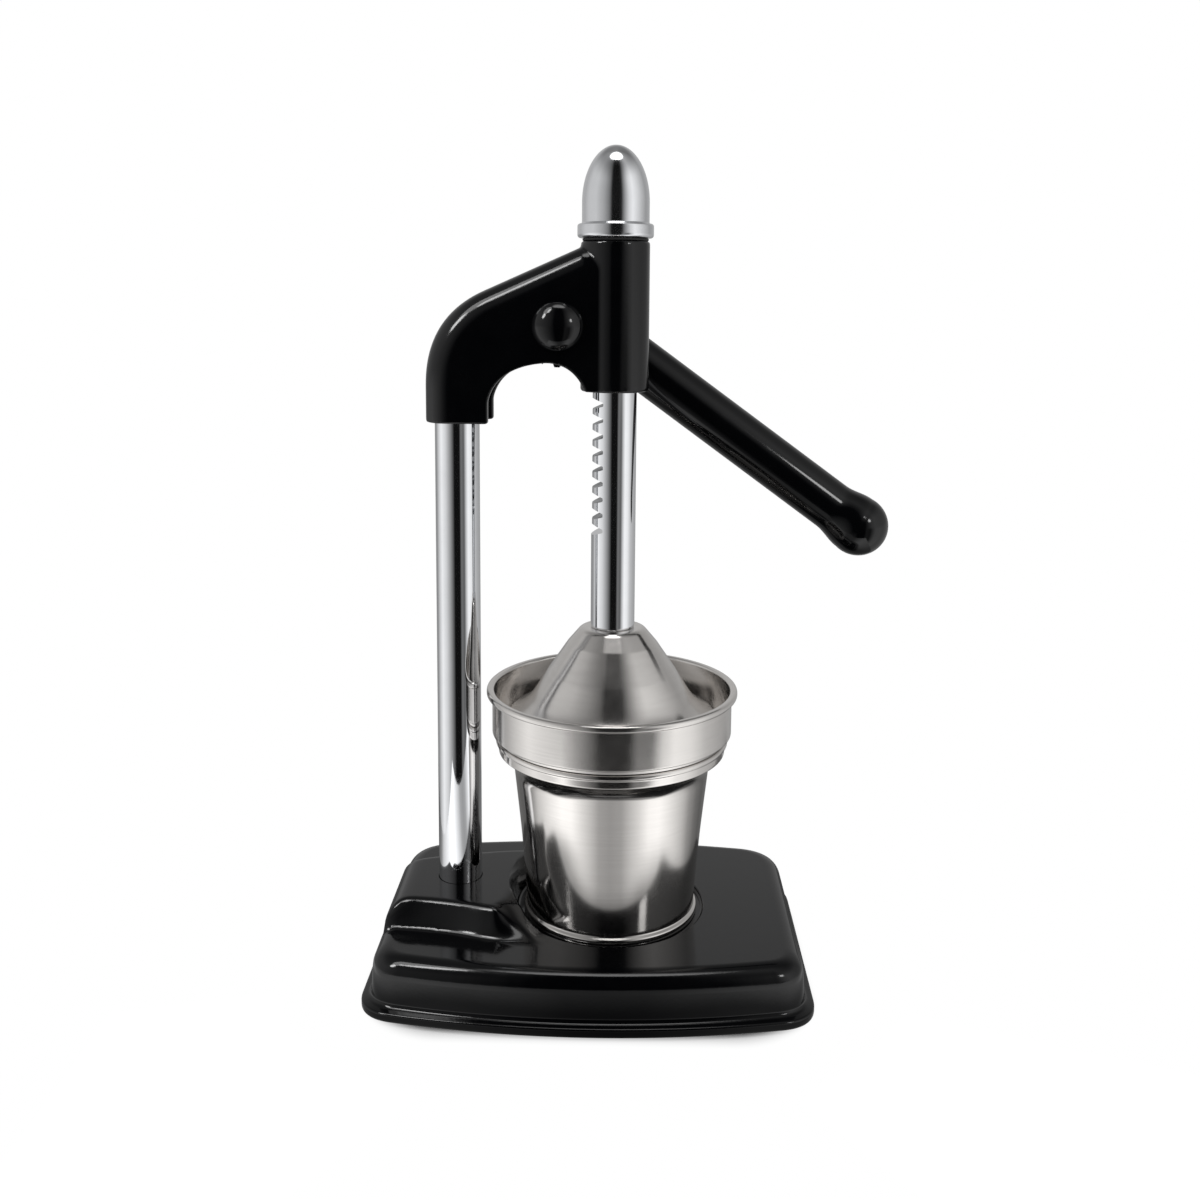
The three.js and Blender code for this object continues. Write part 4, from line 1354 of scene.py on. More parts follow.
    def heights(self, x: np.ndarray, y: np.ndarray, inset: np.ndarray) -> np.ndarray:
        """The upper surface's height over the plan.

        Args:
            x: The points' X from the press axis.
            y: The points' Y from the press axis.
            inset: How far the points lie inside the outline.

        Returns:
            The heights.
        """
        body = self.arch(inset, self.wall_inset, self.fillet, self.top)
        edge = self.arch(inset, self.hump_inset, self.hump_fillet, self.hump_top)
        edge = np.where(inset < self.hump_inset, 0.0, edge)
        spread = [(0.0, 0.0)]
        for share, count in self.crease_rings:
            for angle in np.arange(count) * FULL_TURN / count:
                spread.append((self.crease * share * math.cos(angle), self.crease * share * math.sin(angle)))
        whole = sum(
            smooth_max(body, smooth_min(self.hump_height(x + dx, y + dy), edge, self.blend), self.blend)
            for dx, dy in spread
        ) / len(spread)
        beyond = np.maximum(np.hypot(x, y) - self.dish_radius, 0.0) / self.flare_width
        flare = self.top + self.flare_rise * beyond ** self.flare_power
        return np.where(flare < whole + self.blend, smooth_min(whole, flare, self.flare_blend), whole)

    def loops(self) -> tuple[np.ndarray, np.ndarray, np.ndarray]:
        """Every closed loop of the skin, from the middle below, over the edge, to the dish's middle.

        Returns:
            The loops below and round the edge, those of the upper surface, and the dish's.
        """
        rows = self.under_loops()
        for inset, height in rounded([Corner(self.rim_inner, self.roof - self.skirt_depth), *self.lip,
                                      Corner(self.wall_inset, self.top - self.fillet)])[1:]:
            rows.append([(x, y, height) for x, y in self.outline(inset)])
        table = np.array(rows)
        upper, insets = self.upper_plan()
        z = self.heights(upper[..., 0], upper[..., 1], insets)
        upper = np.dstack([upper, z])
        rim = z[-1]
        dish = []
        for step in range(1, self.dish_steps + 1):
            angle = QUARTER_TURN * step / self.dish_steps
            radius = self.dish_radius - self.dish_round * (1.0 - math.cos(angle))
            dish.append(self.circle(radius, rim - self.dish_round * math.sin(angle)))
        inner = self.dish_radius - self.dish_round
        for share in self.dish_rings:
            dish.append(self.circle(inner * share, np.full(rim.shape, self.dish_floor)))
        return table, upper, np.array(dish)

    def directions(self) -> np.ndarray:
        """The directions from the press axis to the points of the outline."""
        points = np.array(self.outline(self.rim_inner))
        return np.arctan2(points[:, 1], points[:, 0])

    def circle(self, radius: float, z: np.ndarray | float) -> np.ndarray:
        """A loop on a circle about the press axis, with its points below the outline's.

        Args:
            radius: The circle's radius.
            z: Its height, or one for each point.

        Returns:
            The loop's points.
        """
        angles = self.directions()
        heights = np.broadcast_to(z, angles.shape)
        return np.stack([radius * np.cos(angles), radius * np.sin(angles), heights], axis=1)

    def under_loops(self) -> list[list[Place]]:
        """The loops below: the dish's underside, the roof and the inner wall.

        Returns:
            The loops as lists of points.
        """
        rows = [self.circle(radius, z) for radius, z in (
            (0.0, self.boss_floor), (self.boss_inner, self.boss_floor),
            (self.boss_radius - self.boss_edge, self.boss_floor),
            (self.boss_radius, self.boss_floor + self.boss_edge), (self.boss_radius, self.roof),
        )]
        edge = np.array(self.outline(self.rim_inner + self.roof_inset))
        for share in self.roof_rings:
            ring = self.circle(self.boss_radius, self.roof)
            ring[:, :2] += (edge - ring[:, :2]) * share
            rows.append(ring)
        for inset, fall in self.roof_corner:
            rows.append([(x, y, self.roof - fall) for x, y in self.outline(inset)])
        return [[tuple(point) for point in row] for row in rows]

    def upper_plan(self) -> tuple[np.ndarray, np.ndarray]:
        """Where the upper surface's points lie in plan, and how far inside the outline.

        Returns:
            The points in plan, and each one's distance from the outline.
        """
        (fine, fine_count), (wide, wide_count) = self.fine_rows, self.wide_rows
        insets = [self.wall_inset + fine * step for step in range(fine_count)]
        insets += [insets[-1] + wide * step for step in range(1, wide_count + 1)]
        rows = [self.outline(inset) for inset in insets]
        last = np.array(rows[-1])
        angles = self.directions()
        target = self.dish_radius * np.stack([np.cos(angles), np.sin(angles)], axis=1)
        for step in range(1, self.inner_rows + 1):
            rows.append(last + (target - last) * (step / self.inner_rows))
        plan = np.array([np.array(row) for row in rows])
        depths = np.array(insets + [insets[-1] + self.hump_fillet] * self.inner_rows)
        return plan, np.broadcast_to(depths[:, None], plan.shape[:2])

    def skin(self) -> Solid:
        """The whole casting as one closed skin.

        Returns:
            The skin.
        """
        table, upper, dish = self.loops()
        rows = np.concatenate([table, upper, dish])
        rows[..., 0] += self.axis.x
        rows[..., 1] += self.axis.y
        return woven(rows.shape[0], rows.shape[1], lambda row, column: rows[row, column])

    def build(self) -> None:
        """Builds the base, with its post hole and its foot bosses."""
        post, bolt = middle("post_tube"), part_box("post_bolt")
        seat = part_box("post_tube")[0].z
        top = self.hump_top + self.post_hole_past
        hole = at(rod_solid(self.post_hole, seat, top, segments=SEGMENTS), post.x, post.y)
        shank = at(rod_solid(self.bolt_hole, bolt[0].z, seat + self.bolt_hole_past), post.x, post.y)
        socket = rod_solid(self.socket_radius, seat - self.socket_floor, self.roof + self.socket_root)
        bosses = [at(socket, post.x, post.y)]
        for node in (name for name in frame["nodes"] if name.startswith("foot_screw")):
            centre, foot_top = middle(node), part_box(node.replace("_screw", ""))[1].z
            boss = rod_solid(self.screw_boss, foot_top, self.roof + self.screw_boss_root)
            bosses.append(at(boss, centre.x, centre.y))
        solid = combined(self.skin(), Join.ADD, bosses)
        self.shop.replace(combined(solid, Join.CUT, [hole, shank]), "base_shell", "base_casting")


@dataclass
class Feet(Assembly):
    """The four rubber feet and the screws that hold them."""

    edge: float = 0.0009
    draft: float = 0.96
    top_edge: float = 0.0004
    bore: float = 0.0023
    recess: float = 0.0046
    recess_edge: float = 0.0003
    crown: tuple[Point, ...] = (
        (0.0, 0.0), (0.0021, 0.0002), (0.0036, 0.0009), (0.004, 0.0017), (0.004, 0.0022),
    )
    head_height: float = 0.0022
    neck: float = 0.0018
    shank: float = 0.002
    pitch: float = 0.0012
    thread_inset: Pair = (0.0006, 0.001)
    slot_width: float = 0.0009
    slot_depth: float = 0.0012
    slot_reach: float = 0.0022

    def build(self) -> None:
        """Builds each foot with its screw."""
        for node in sorted(name for name in frame["nodes"] if name.startswith("foot_screw")):
            place = node.replace("foot_screw_", "")
            self.build_foot(place)
            self.build_screw(place)

    def build_foot(self, place: str) -> None:
        """A foot: a thick ring with a recess for the screw's head.

        Args:
            place: The corner of the base that it is at.
        """
        low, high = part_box(f"foot_{place}")
        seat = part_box(f"foot_screw_{place}")[0].z + self.head_height
        radius, centre = (high.x - low.x) / 2.0, (low + high) / 2.0
        corners = [
            Corner(self.recess, low.z, self.recess_edge), Corner(radius, low.z, self.edge),
            Corner(radius * self.draft, high.z, self.top_edge), Corner(self.bore, high.z),
            Corner(self.bore, seat), Corner(self.recess, seat),
        ]
        bm = turn(rounded(corners, closed=True, steps=4), closed=True, segments=SMALL_SEGMENTS)
        self.shop.replace(at(bm, centre.x, centre.y), f"foot_pad_{place}", f"foot_{place}")

    def build_screw(self, place: str) -> None:
        """A screw: a crowned head with a cross recess, and a threaded shank.

        Args:
            place: The corner of the base that it is at.
        """
        low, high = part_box(f"foot_screw_{place}")
        centre = (low + high) / 2.0
        seat = low.z + self.head_height
        crown = [(r, low.z + z) for r, z in self.crown]
        start, end = self.thread_inset
        shank = thread(self.shank, seat + start, high.z - end, self.pitch)
        bm = turn([*crown, (self.neck, seat), *shank, (0.0, high.z)], segments=SMALL_SEGMENTS)
        half, reach, top = self.slot_width / 2.0, self.slot_reach, low.z + self.slot_depth
        slots = [block((-reach, -half, low.z - reach), (reach, half, top)),
                 block((-half, -reach, low.z - reach), (half, reach, top))]
        bm = combined(bm, Join.CUT, slots)
        self.shop.replace(at(bm, centre.x, centre.y), f"foot_fixing_{place}", f"foot_screw_{place}")


@dataclass
class Post(Assembly):
    """The chromed post with what pulls it into the base."""

    wall: float = 0.002
    edge: float = 0.0005
    washer_bore: float = 0.0043
    head_height: float = 0.0053
    head_flats: float = 0.013
    head_overlap: float = 0.002
    bolt_radius: float = 0.004
    bolt_pitch: float = 0.0015
    bolt_tip: float = 0.001

    def build(self) -> None:
        """Builds the tube, its washer and its bolt; the plug inside stays."""
        low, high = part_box("post_tube")
        centre = (low + high) / 2.0
        self.ring("post_sleeve", "post_tube", (high.x - low.x) / 2.0 - self.wall, self.edge, SEGMENTS)
        self.ring("post_disc", "post_washer", self.washer_bore)
        low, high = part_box("post_bolt")
        seat = low.z + self.head_height
        grooves = thread(self.bolt_radius, seat, high.z - self.bolt_tip, self.bolt_pitch)
        shank = turn([(0.0, seat - self.head_overlap), *grooves, (0.0, high.z)], segments=SMALL_SEGMENTS)
        bolt = combined(hex_nut(self.head_flats, low.z, seat, 0.0), Join.ADD, [shank])
        self.shop.replace(at(bolt, centre.x, centre.y), "post_screw", "post_bolt")
        self.shop.keep("post_plug")


@dataclass
class Head(Assembly):
    """The cast head: the arm, the rod's housing and the leg that clamps the post."""

    radius: float = 0.0162
    half_depth: float = 0.0146
    edge: float = 0.0112
    housing_edge: float = 0.0012
    crown_inset: float = 0.0005
    crown_drop: float = 0.0028
    slope: float = 0.4476
    shoulder_in: float = 0.0135
    shoulder_rise: float = 0.0025
    leg_out: float = 0.0143
    leg_in: float = 0.0161
    arch_leg_drop: float = 0.0045
    arch_x: float = -0.032
    arch_rise: float = 0.0137
    arch_inset: float = 0.0027
    arch_leg_curve: float = 0.0039
    arch_leg_round: float = 0.0017
    arch_housing_curve: float = 0.0055
    wall: float = 0.005
    cavity_in: float = 0.013
    cavity_floor: float = 0.0175
    cavity_roof: float = 0.0525
    cavity_half: float = 0.0095
    cavity_right: float = -0.0327
    cavity_end: float = -0.008
    slot_half: float = 0.008
    bore: float = 0.01125
    guide: float = 0.0122
    guide_length: float = 0.0123
    guide_bore: float = 0.01085
    room: float = 0.0206
    bush: float = 0.0082
    post_bore: float = 0.01095
    screw_hole: float = 0.00315
    screw_radius: float = 0.003
    screw_tip: float = 0.0024
    screw_chamfer: float = 0.0004
    screw_pitch: float = 0.0008
    screw_flats: float = 0.003
    screw_socket: float = 0.002
    dome_height: float = 0.0084
    dome_rim: float = 0.0006
    dome_steps: int = 20
    plug_radius: float = 0.0056
    plug_length: float = 0.0018
    arch_steps: int = 24
    arm_steps: int = 26
    edge_steps: int = 10
    overrun: float = 0.003
    clear: float = 0.0004
    voxel: float = 0.00062
    smoothing: int = 5

    def __post_init__(self) -> None:
        """Takes the head's places from its node, about the press axis."""
        low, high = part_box("head_casting")
        super().__post_init__()
        self.top, self.low = high.z, low.z
        self.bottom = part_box("guide_lower")[0].z
        self.post = middle("post_tube").x - self.axis.x
        self.post_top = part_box("post_tube")[1].z
        self.pinion = Vector((middle("pinion_gear").x - self.axis.x, 0.0, middle("pinion_gear").z))
        self.crown = (self.crown_inset - self.radius, self.top - self.crown_drop)

    def top_line(self, x: float) -> float:
        """The height of the arm's upper edge at an X."""
        return self.crown[1] - (self.crown[0] - x) * self.slope

    def arm(self) -> Solid:
        """The arm and the leg as one rounded slab.

        Returns:
            The slab.
        """
        left, shoulder = self.post - self.leg_out, self.post + self.shoulder_in
        curve = bow((shoulder, self.top_line(shoulder)), (left, self.top_line(left)),
                    (left, self.bottom + self.shoulder_rise), self.arm_steps)
        outline = [(0.0, self.crown[1]), self.crown, *curve, (left, self.bottom + self.shoulder_rise),
                   (left, self.low - self.overrun), (0.0, self.low - self.overrun)]
        bm = prism(outline, -self.half_depth, self.half_depth)
        edges = [edge for edge in bm.edges if self.on_back(edge, left)]
        bmesh.ops.bevel(bm, geom=edges, offset=self.edge, offset_type="OFFSET",
                        segments=self.edge_steps, profile=0.5, affect="EDGES", material=-1,
                        clamp_overlap=False)
        return bm

    def on_back(self, edge: bmesh.types.BMEdge, left: float) -> bool:
        """Whether an edge runs along the arm's upper side or the leg's outer side.

        Args:
            edge: The edge.
            left: The X of the leg's outer side.

        Returns:
            Whether the edge is one of those.
        """
        one, two = (vert.co for vert in edge.verts)
        level = abs(one.y - two.y) < MERGE
        low = self.low - self.overrun + MERGE
        outer = max(one.z, two.z) > low and (one.x < left + MERGE or two.x < left + MERGE)
        return level and (outer or min(one.z, two.z) > self.bottom)

    def under(self) -> Solid:
        """All that is open below the arm, which ends a little above the housing's end.

        Returns:
            The cutter.
        """
        leg, housing = self.post + self.leg_in, self.arch_inset - self.radius
        top, end = self.bottom + self.arch_rise, self.bottom + self.clear
        left, far = self.post - self.leg_out - self.overrun, self.low - 2.0 * self.radius
        first = bow((leg, self.bottom - self.arch_leg_drop),
                    (leg + self.arch_leg_curve, top - self.arch_leg_round), (self.arch_x, top),
                    self.arch_steps)
        second = bow((self.arch_x, top), (housing - self.arch_housing_curve, top), (housing, end),
                     self.arch_steps)
        right = self.radius + self.overrun
        outline = [(left, far), (left, self.low), (leg, self.low), *first, *second,
                   (housing, end), (right, end), (right, far)]
        return prism(outline, -right, right)

    def cavity(self) -> Solid:
        """The hollow for the pinion, open down the leg's inner side.

        Returns:
            The cutter.
        """
        left, knee = self.post + self.cavity_in, self.crown[0] - self.wall
        roof, floor = self.bottom + self.cavity_roof, self.bottom + self.cavity_floor
        low = self.low - self.overrun
        outline = [
            (left, low), (left, self.top_line(left) - self.wall), (knee, self.top_line(knee) - self.wall),
            (knee, roof), (self.cavity_end, roof), (self.cavity_end, floor), (self.cavity_right, floor),
            (self.cavity_right, low),
        ]
        return prism(outline, -self.cavity_half, self.cavity_half)

    def bores(self) -> list[Solid]:
        """The round holes: rod, guides, pinion, shaft, post and set screw.

        Returns:
            A cutter for each.
        """
        past, depth = self.overrun, self.half_depth + self.overrun
        across = facing_back(self.pinion.x, self.pinion.z)
        screw = middle("head_set_screw")
        return [
            spindle([(self.guide, self.bottom - past), (self.bore, self.bottom + self.guide_length),
                     (self.guide, self.top - self.guide_length), (0.0, self.top + past)]),
            moved(spindle([(self.bush, -depth), (self.room, self.clear - self.cavity_half),
                           (self.bush, self.cavity_half - self.clear), (0.0, depth)]), across),
            at(spindle([(self.post_bore, self.low - past), (0.0, self.post_top + self.clear)]), self.post),
            block((self.post, -self.slot_half, self.low - past),
                  (self.post + self.leg_in + past, self.slot_half, self.post_top)),
            moved(spindle([(self.screw_hole, 0.0), (0.0, self.radius + past)]),
                  facing_back(screw.x - self.axis.x, screw.z)),
        ]

    def housing(self) -> Solid:
        """The round housing for the rod.

        Returns:
            The solid.
        """
        edge, radius = self.housing_edge, self.radius
        return turn(rounded([
            Corner(0.0, self.bottom), Corner(radius, self.bottom, edge), Corner(radius, self.top, edge),
            Corner(0.0, self.top),
        ]))

    def build_casting(self) -> None:
        """Builds the casting with its soft edges."""
        solid = combined(self.arm(), Join.CUT, [self.under()])
        solid = combined(solid, Join.ADD, [self.housing()])
        solid = combined(solid, Join.CUT, [self.cavity(), *self.bores()])
        solid = recast(solid, self.voxel, self.smoothing)
        self.shop.replace(at(solid, self.axis.x, self.axis.y), "head_shell", "head_casting")

    def build_dome(self) -> None:
        """Builds the domed cap over the shaft's front end."""
        low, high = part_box("shaft_dome_cap")
        radius, centre = (high.x - low.x) / 2.0, (low + high) / 2.0
        height, plug, face = self.dome_height, self.plug_radius, self.axis.y - low.y - self.dome_height
        root = face - self.plug_length
        bm = turn([(0.0, root), (plug, root), (plug, face), (radius - self.dome_rim, face),
                   *quarter_dome(radius, face, height, self.dome_steps)])
        place = Matrix.Translation((centre.x, self.axis.y, centre.z))
        turned = place @ Matrix.Rotation(QUARTER_TURN, 4, "X")
        self.shop.replace(moved(bm, turned), "dome_button", "shaft_dome_cap")

    def build_set_screw(self) -> None:
        """Builds the socket screw that clamps the post."""
        low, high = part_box("head_set_screw")
        centre = (low + high) / 2.0
        inner, outer = low.y, high.y
        grooves = thread(self.screw_radius, inner, outer - self.screw_chamfer, self.screw_pitch)
        solid = turn([(0.0, inner), *grooves, (self.screw_tip, outer), (0.0, outer)], segments=SMALL_SEGMENTS)
        socket = hexagon(self.screw_flats, outer - self.screw_socket, outer + self.overrun)
        bm = combined(solid, Join.CUT, [socket])
        self.shop.replace(moved(bm, facing_back(centre.x, centre.z)), "clamp_screw", "head_set_screw")

    def build(self) -> None:
        """Builds the head and what is fixed in it."""
        self.build_casting()
        self.build_dome()
        self.build_set_screw()
        for end in ("lower", "upper"):
            self.ring(f"guide_ring_{end}", f"guide_{end}", self.guide_bore, segments=SEGMENTS)
        self.shop.keep("shaft_bush_front", "shaft_bush_back")


@dataclass
class Presser(Assembly):
    """The toothed rod with its cap above and the bell below."""

    radius: float = 0.01065
    stub: float = 0.006
    upper_stub: float = 0.014
    lower_stub: float = 0.0112
    module: float = 0.0024
    pressure: float = 0.364
    pitch_depth: float = 0.00245
    tip_depth: float = 0.00045
    root_depth: float = 0.00565
    teeth: int = 15
    teeth_drop: float = 0.0931
    backlash: float = 0.00017
    tooth_root: float = 0.0005
    cut_depth: float = 0.0001
    stub_edge: float = 0.0005
    rod_edge: float = 0.0006
    bore_gap: float = 0.0003
    ring_radius: float = 0.0179
    ring_height: float = 0.0064
    ring_edge: float = 0.0014
    cap_radius: float = 0.0158
    cap_straight: float = 0.01
    cap_foot: Pair = (0.0004, 0.0007)
    cap_steps: int = 30
    cap_end_gap: float = 0.0006
    washer_bore: float = 0.0111
    washer_edge: float = 0.0004
    bell_wall: float = 0.0014
    bell_shoulder: tuple[Corner, ...] = (
        Corner(0.0152, 0.0, 0.0045), Corner(0.0218, -0.0078, 0.012), Corner(0.0314, -0.0219),
    )
    bell_flank: tuple[Point, ...] = (
        (0.0314, -0.0219), (0.0382, -0.0329), (0.042, -0.0374), (0.0461, -0.0405), (0.05, -0.0426),
    )
    bell_brim: tuple[Point, ...] = ((0.0004, -0.0006), (-0.0002, -0.0011))
    fixing_bore: float = 0.00615
    nut_flats: float = 0.017
    overrun: float = 0.003

    def __post_init__(self) -> None:
        """Takes the rod's places from its node."""
        super().__post_init__()
        low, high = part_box("rack_rod")
        self.bottom, self.top = low.z + self.lower_stub, high.z - self.upper_stub
        self.pinion_z = middle("pinion_gear").z

    def gap(self, centre: float) -> Solid:
        """The space between two teeth, with its root rounded.

        Args:
            centre: The height of its middle.

        Returns:
            The cutter.
        """
        pitch_x, root = self.pitch_depth - self.radius, self.root_depth - self.radius
        outer, reach = -self.radius - self.overrun, self.radius + self.overrun
        quarter = math.pi * self.module / 4.0 + self.backlash / 2.0

        def half(x: float) -> float:
            """Half of the gap's width at an X."""
            return quarter + (pitch_x - x) * self.pressure

        corners = [
            Corner(outer, centre - half(outer)), Corner(root, centre - half(root), self.tooth_root),
            Corner(root, centre + half(root), self.tooth_root), Corner(outer, centre + half(outer)),
        ]
        points = [(corners[0].r, corners[0].z), *fillet(corners[0], corners[1], corners[2], 4),
                  *fillet(corners[1], corners[2], corners[3], 4), (corners[3].r, corners[3].z)]
        return prism(points, -reach, reach)

    def build_rod(self) -> None:
        """Builds the rod and cuts its teeth."""
        pitch = math.pi * self.module
        first = self.pinion_z - self.teeth_drop - pitch / 2.0
        last = first + self.teeth * pitch
        low, high = self.bottom - self.lower_stub, self.top + self.upper_stub
        rod = turn(rounded([
            Corner(0.0, low), Corner(self.stub, low, self.stub_edge), Corner(self.stub, self.bottom),
            Corner(self.radius, self.bottom, self.rod_edge), Corner(self.radius, self.top, self.rod_edge),
            Corner(self.stub, self.top), Corner(self.stub, high, self.stub_edge), Corner(0.0, high),
        ], steps=3))
        reach = self.radius + self.overrun
        shave = block((-reach, -reach, first), (self.tip_depth - self.radius, reach, last))
        gaps = joined(self.gap(first + index * pitch) for index in range(self.teeth + 1))
        toothed = self.placed(combined(rod, Join.CUT, [shave, gaps]))
        piece = self.shop.replace(toothed, "toothed_rod", "rack_rod")
        piece.data.materials.append(self.shop.palette.materials["steel"])
        for face in piece.data.polygons:
            cut = (face.center.xy - self.axis.xy).length < self.radius - self.cut_depth
            face.material_index = int(cut and first < face.center.z < last)

    def build_cap(self) -> None:
        """Builds the acorn cap with its collar, and the washer below it."""
        low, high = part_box("rack_cap")
        base, ring = low.z, low.z + self.ring_height
        shoulder = ring + self.cap_straight
        bore, (rise, rounding) = self.stub + self.bore_gap, self.cap_foot
        collar = rounded([
            Corner(bore, base), Corner(self.ring_radius, base, self.ring_edge),
            Corner(self.ring_radius, ring, self.ring_edge), Corner(self.cap_radius, ring + rise, rounding),
            Corner(self.cap_radius, shoulder),
        ], steps=5)
        dome = quarter_dome(self.cap_radius, shoulder, high.z - shoulder, self.cap_steps)[1:]
        end = self.top + self.upper_stub + self.cap_end_gap
        bm = turn([*collar, *dome, (0.0, end), (bore, end)], closed=True)
        self.shop.replace(self.placed(bm), "acorn_cap", "rack_cap", "cap_chrome")
        self.ring("stop_washer", "cap_bumper", self.washer_bore, self.washer_edge, SEGMENTS)

    def bell_profile(self) -> list[Point]:
        """The bell's outer line from its bore down to its brim.

        Returns:
            The line's points.
        """
        bore = Corner(self.stub + self.bore_gap, self.bottom)
        shoulder = rounded([bore, *raised(self.bell_shoulder, self.bottom)], steps=8)
        flank = flowing([(r, self.bottom + z) for r, z in self.bell_flank], 5)
        return [*shoulder[:-1], *flank]

    def build_bell(self) -> None:
        """Builds the spun bell with its rounded brim."""
        outside = self.bell_profile()
        inside = inner_wall(list(reversed(outside)), self.bell_wall)
        r, z = outside[-1]
        brim = [(r + out, z + rise) for out, rise in self.bell_brim]
        inside = [(max(radius, self.stub + self.bore_gap), height) for radius, height in inside]
        bm = turn([*outside, *brim, *inside], closed=True)
        self.shop.replace(self.placed(bm), "press_bell", "presser_bell")

    def build_fixings(self) -> None:
        """Builds the washer and the nut inside the bell."""
        self.ring("bell_washer", "presser_washer", self.fixing_bore)
        low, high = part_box("presser_nut")
        nut = hex_nut(self.nut_flats, low.z, high.z, self.fixing_bore)
        self.shop.replace(self.placed(nut), "bell_nut", "presser_nut")

    def build(self) -> None:
        """Builds the rod and what it carries."""
        self.build_rod()
        self.build_cap()
        self.build_bell()
        self.build_fixings()


@dataclass
class JuiceSet(Assembly):
    """The reamer, the bowl and the cup, which lift off one another."""

    wall: float = 0.0012
    seat_gap: float = 0.0003
    cup_foot: tuple[Corner, ...] = (
        Corner(0.0, 0.0026), Corner(0.0404, 0.0026), Corner(0.0404, 0.0, 0.0003),
        Corner(0.0428, 0.0, 0.0008), Corner(0.0428, 0.0032, 0.001), Corner(0.0413, 0.0043, 0.0008),
        Corner(0.0425, 0.02),
    )
    cup_side: tuple[Point, ...] = (
        (0.044, -0.0503), (0.0457, -0.034), (0.0472, -0.0205), (0.0477, -0.0162), (0.0486, -0.0135),
        (0.0503, -0.0108), (0.0525, -0.0087), (0.0544, -0.0073),
    )
    cup_band: tuple[Corner, ...] = (
        Corner(0.0544, -0.0073), Corner(0.0553, -0.0068, 0.0005), Corner(0.0554, -0.0028, 0.0004),
        Corner(0.0567, -0.0024, 0.0007), Corner(0.0567, 0.0, 0.0009), Corner(0.0543, 0.0, 0.0006),
        Corner(0.0543, -0.004),
    )
    cup_floor: tuple[Point, ...] = ((0.0405, 0.0075), (0.0395, 0.005), (0.037, 0.0038), (0.0, 0.0038))
    bowl_under: tuple[Corner, ...] = (
        Corner(0.024, -0.0205), Corner(0.024, -0.0145, 0.003), Corner(0.0524, -0.007, 0.002),
        Corner(0.0531, 0.0, 0.0006), Corner(0.056, 0.0, 0.0003), Corner(0.0562, 0.0018, 0.0003),
        Corner(0.0584, 0.0021, 0.0007),
    )
    bowl_rim: tuple[Corner, ...] = (
        Corner(0.0584, -0.0034, 0.0004), Corner(0.0594, -0.0034, 0.0004), Corner(0.0611, -0.003, 0.0012),
        Corner(0.0611, 0.0, 0.0014), Corner(0.0574, 0.0, 0.0014), Corner(0.0572, -0.006),
    )
    bowl_over: tuple[Corner, ...] = (
        Corner(0.0572, 0.0034, 0.0012), Corner(0.0552, 0.003, 0.0004), Corner(0.0552, 0.0012, 0.0003),
        Corner(0.0519, 0.0012, 0.0006), Corner(0.0512, -0.006, 0.002), Corner(0.0228, -0.0133, 0.003),
        Corner(0.0228, -0.0205),
    )
    flange_rise: float = 0.00255
    dish_depth: float = 0.0045
    flange: tuple[Corner, ...] = (Corner(0.0549, 0.0), Corner(0.0502, 0.0, 0.001))
    dish: tuple[Corner, ...] = (Corner(0.0475, 0.0, 0.0012), Corner(0.033, 0.0))
    cone: tuple[Point, ...] = (
        (0.033, 0.0), (0.0303, 0.0036), (0.021, 0.0153), (0.012, 0.0277), (0.0066, 0.0339),
        (0.0022, 0.0368),
    )
    cone_top: float = 0.0373
    columns: int = 256
    ribs: int = 8
    rib_height: float = 0.0024
    rib_sharpness: int = 5
    rib_end: float = 1.15
    slots: int = 16
    slot: Place = (0.0363, 0.0442, 0.0011)
    slot_past: float = 0.003

    def __post_init__(self) -> None:
        """Takes the heights from the nodes."""
        super().__post_init__()
        self.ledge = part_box("juice_cup")[1].z + self.seat_gap

    def build_cup(self) -> None:
        """Builds the spun cup: foot ring, tapered body, flared neck, band and rolled rim."""
        low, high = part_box("juice_cup")
        foot = rounded(raised(self.cup_foot, low.z), steps=5)
        side = flowing([foot[-1], *((r, high.z + z) for r, z in self.cup_side)], 5)
        band = rounded(raised(self.cup_band, high.z), steps=4)
        inside = inner_wall(list(reversed(side)), -self.wall)
        lowest = [(r, low.z + z) for r, z in self.cup_floor]
        bm = turn([*foot[:-1], *side[:-1], *band, *inside, *lowest])
        self.shop.replace(self.placed(bm), "cup_shell", "juice_cup", "cup_stainless")

    def build_bowl(self) -> None:
        """Builds the bowl: rolled rim, wall, ledge, collar and funnel."""
        rim = raised(self.bowl_rim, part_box("funnel_bowl")[1].z)
        under = rounded([*raised(self.bowl_under, self.ledge), *rim], steps=6)
        over = rounded([rim[-1], *raised(self.bowl_over, self.ledge)], steps=6)
        bm = turn([*under[:-1], *over], closed=True)
        self.shop.replace(self.placed(bm), "bowl_shell", "funnel_bowl")

    def build_reamer(self) -> None:
        """Builds the ribbed cone in its slotted dish."""
        flange = self.ledge + self.flange_rise
        dish = flange - self.dish_depth
        side = flowing([(r, dish + z) for r, z in self.cone], 7)
        rim = rounded([*raised(self.flange, flange), *raised(self.dish, dish)], steps=4)
        upper = [*rim[:-1], *side, (0.0, dish + self.cone_top)]
        lower = inner_wall(upper, self.wall)
        lower[-1] = (0.0, dish + self.cone_top - self.wall)
        profile = [*upper, *reversed(lower)]
        first, last = len(upper) - len(side) - 1, len(upper) - 2

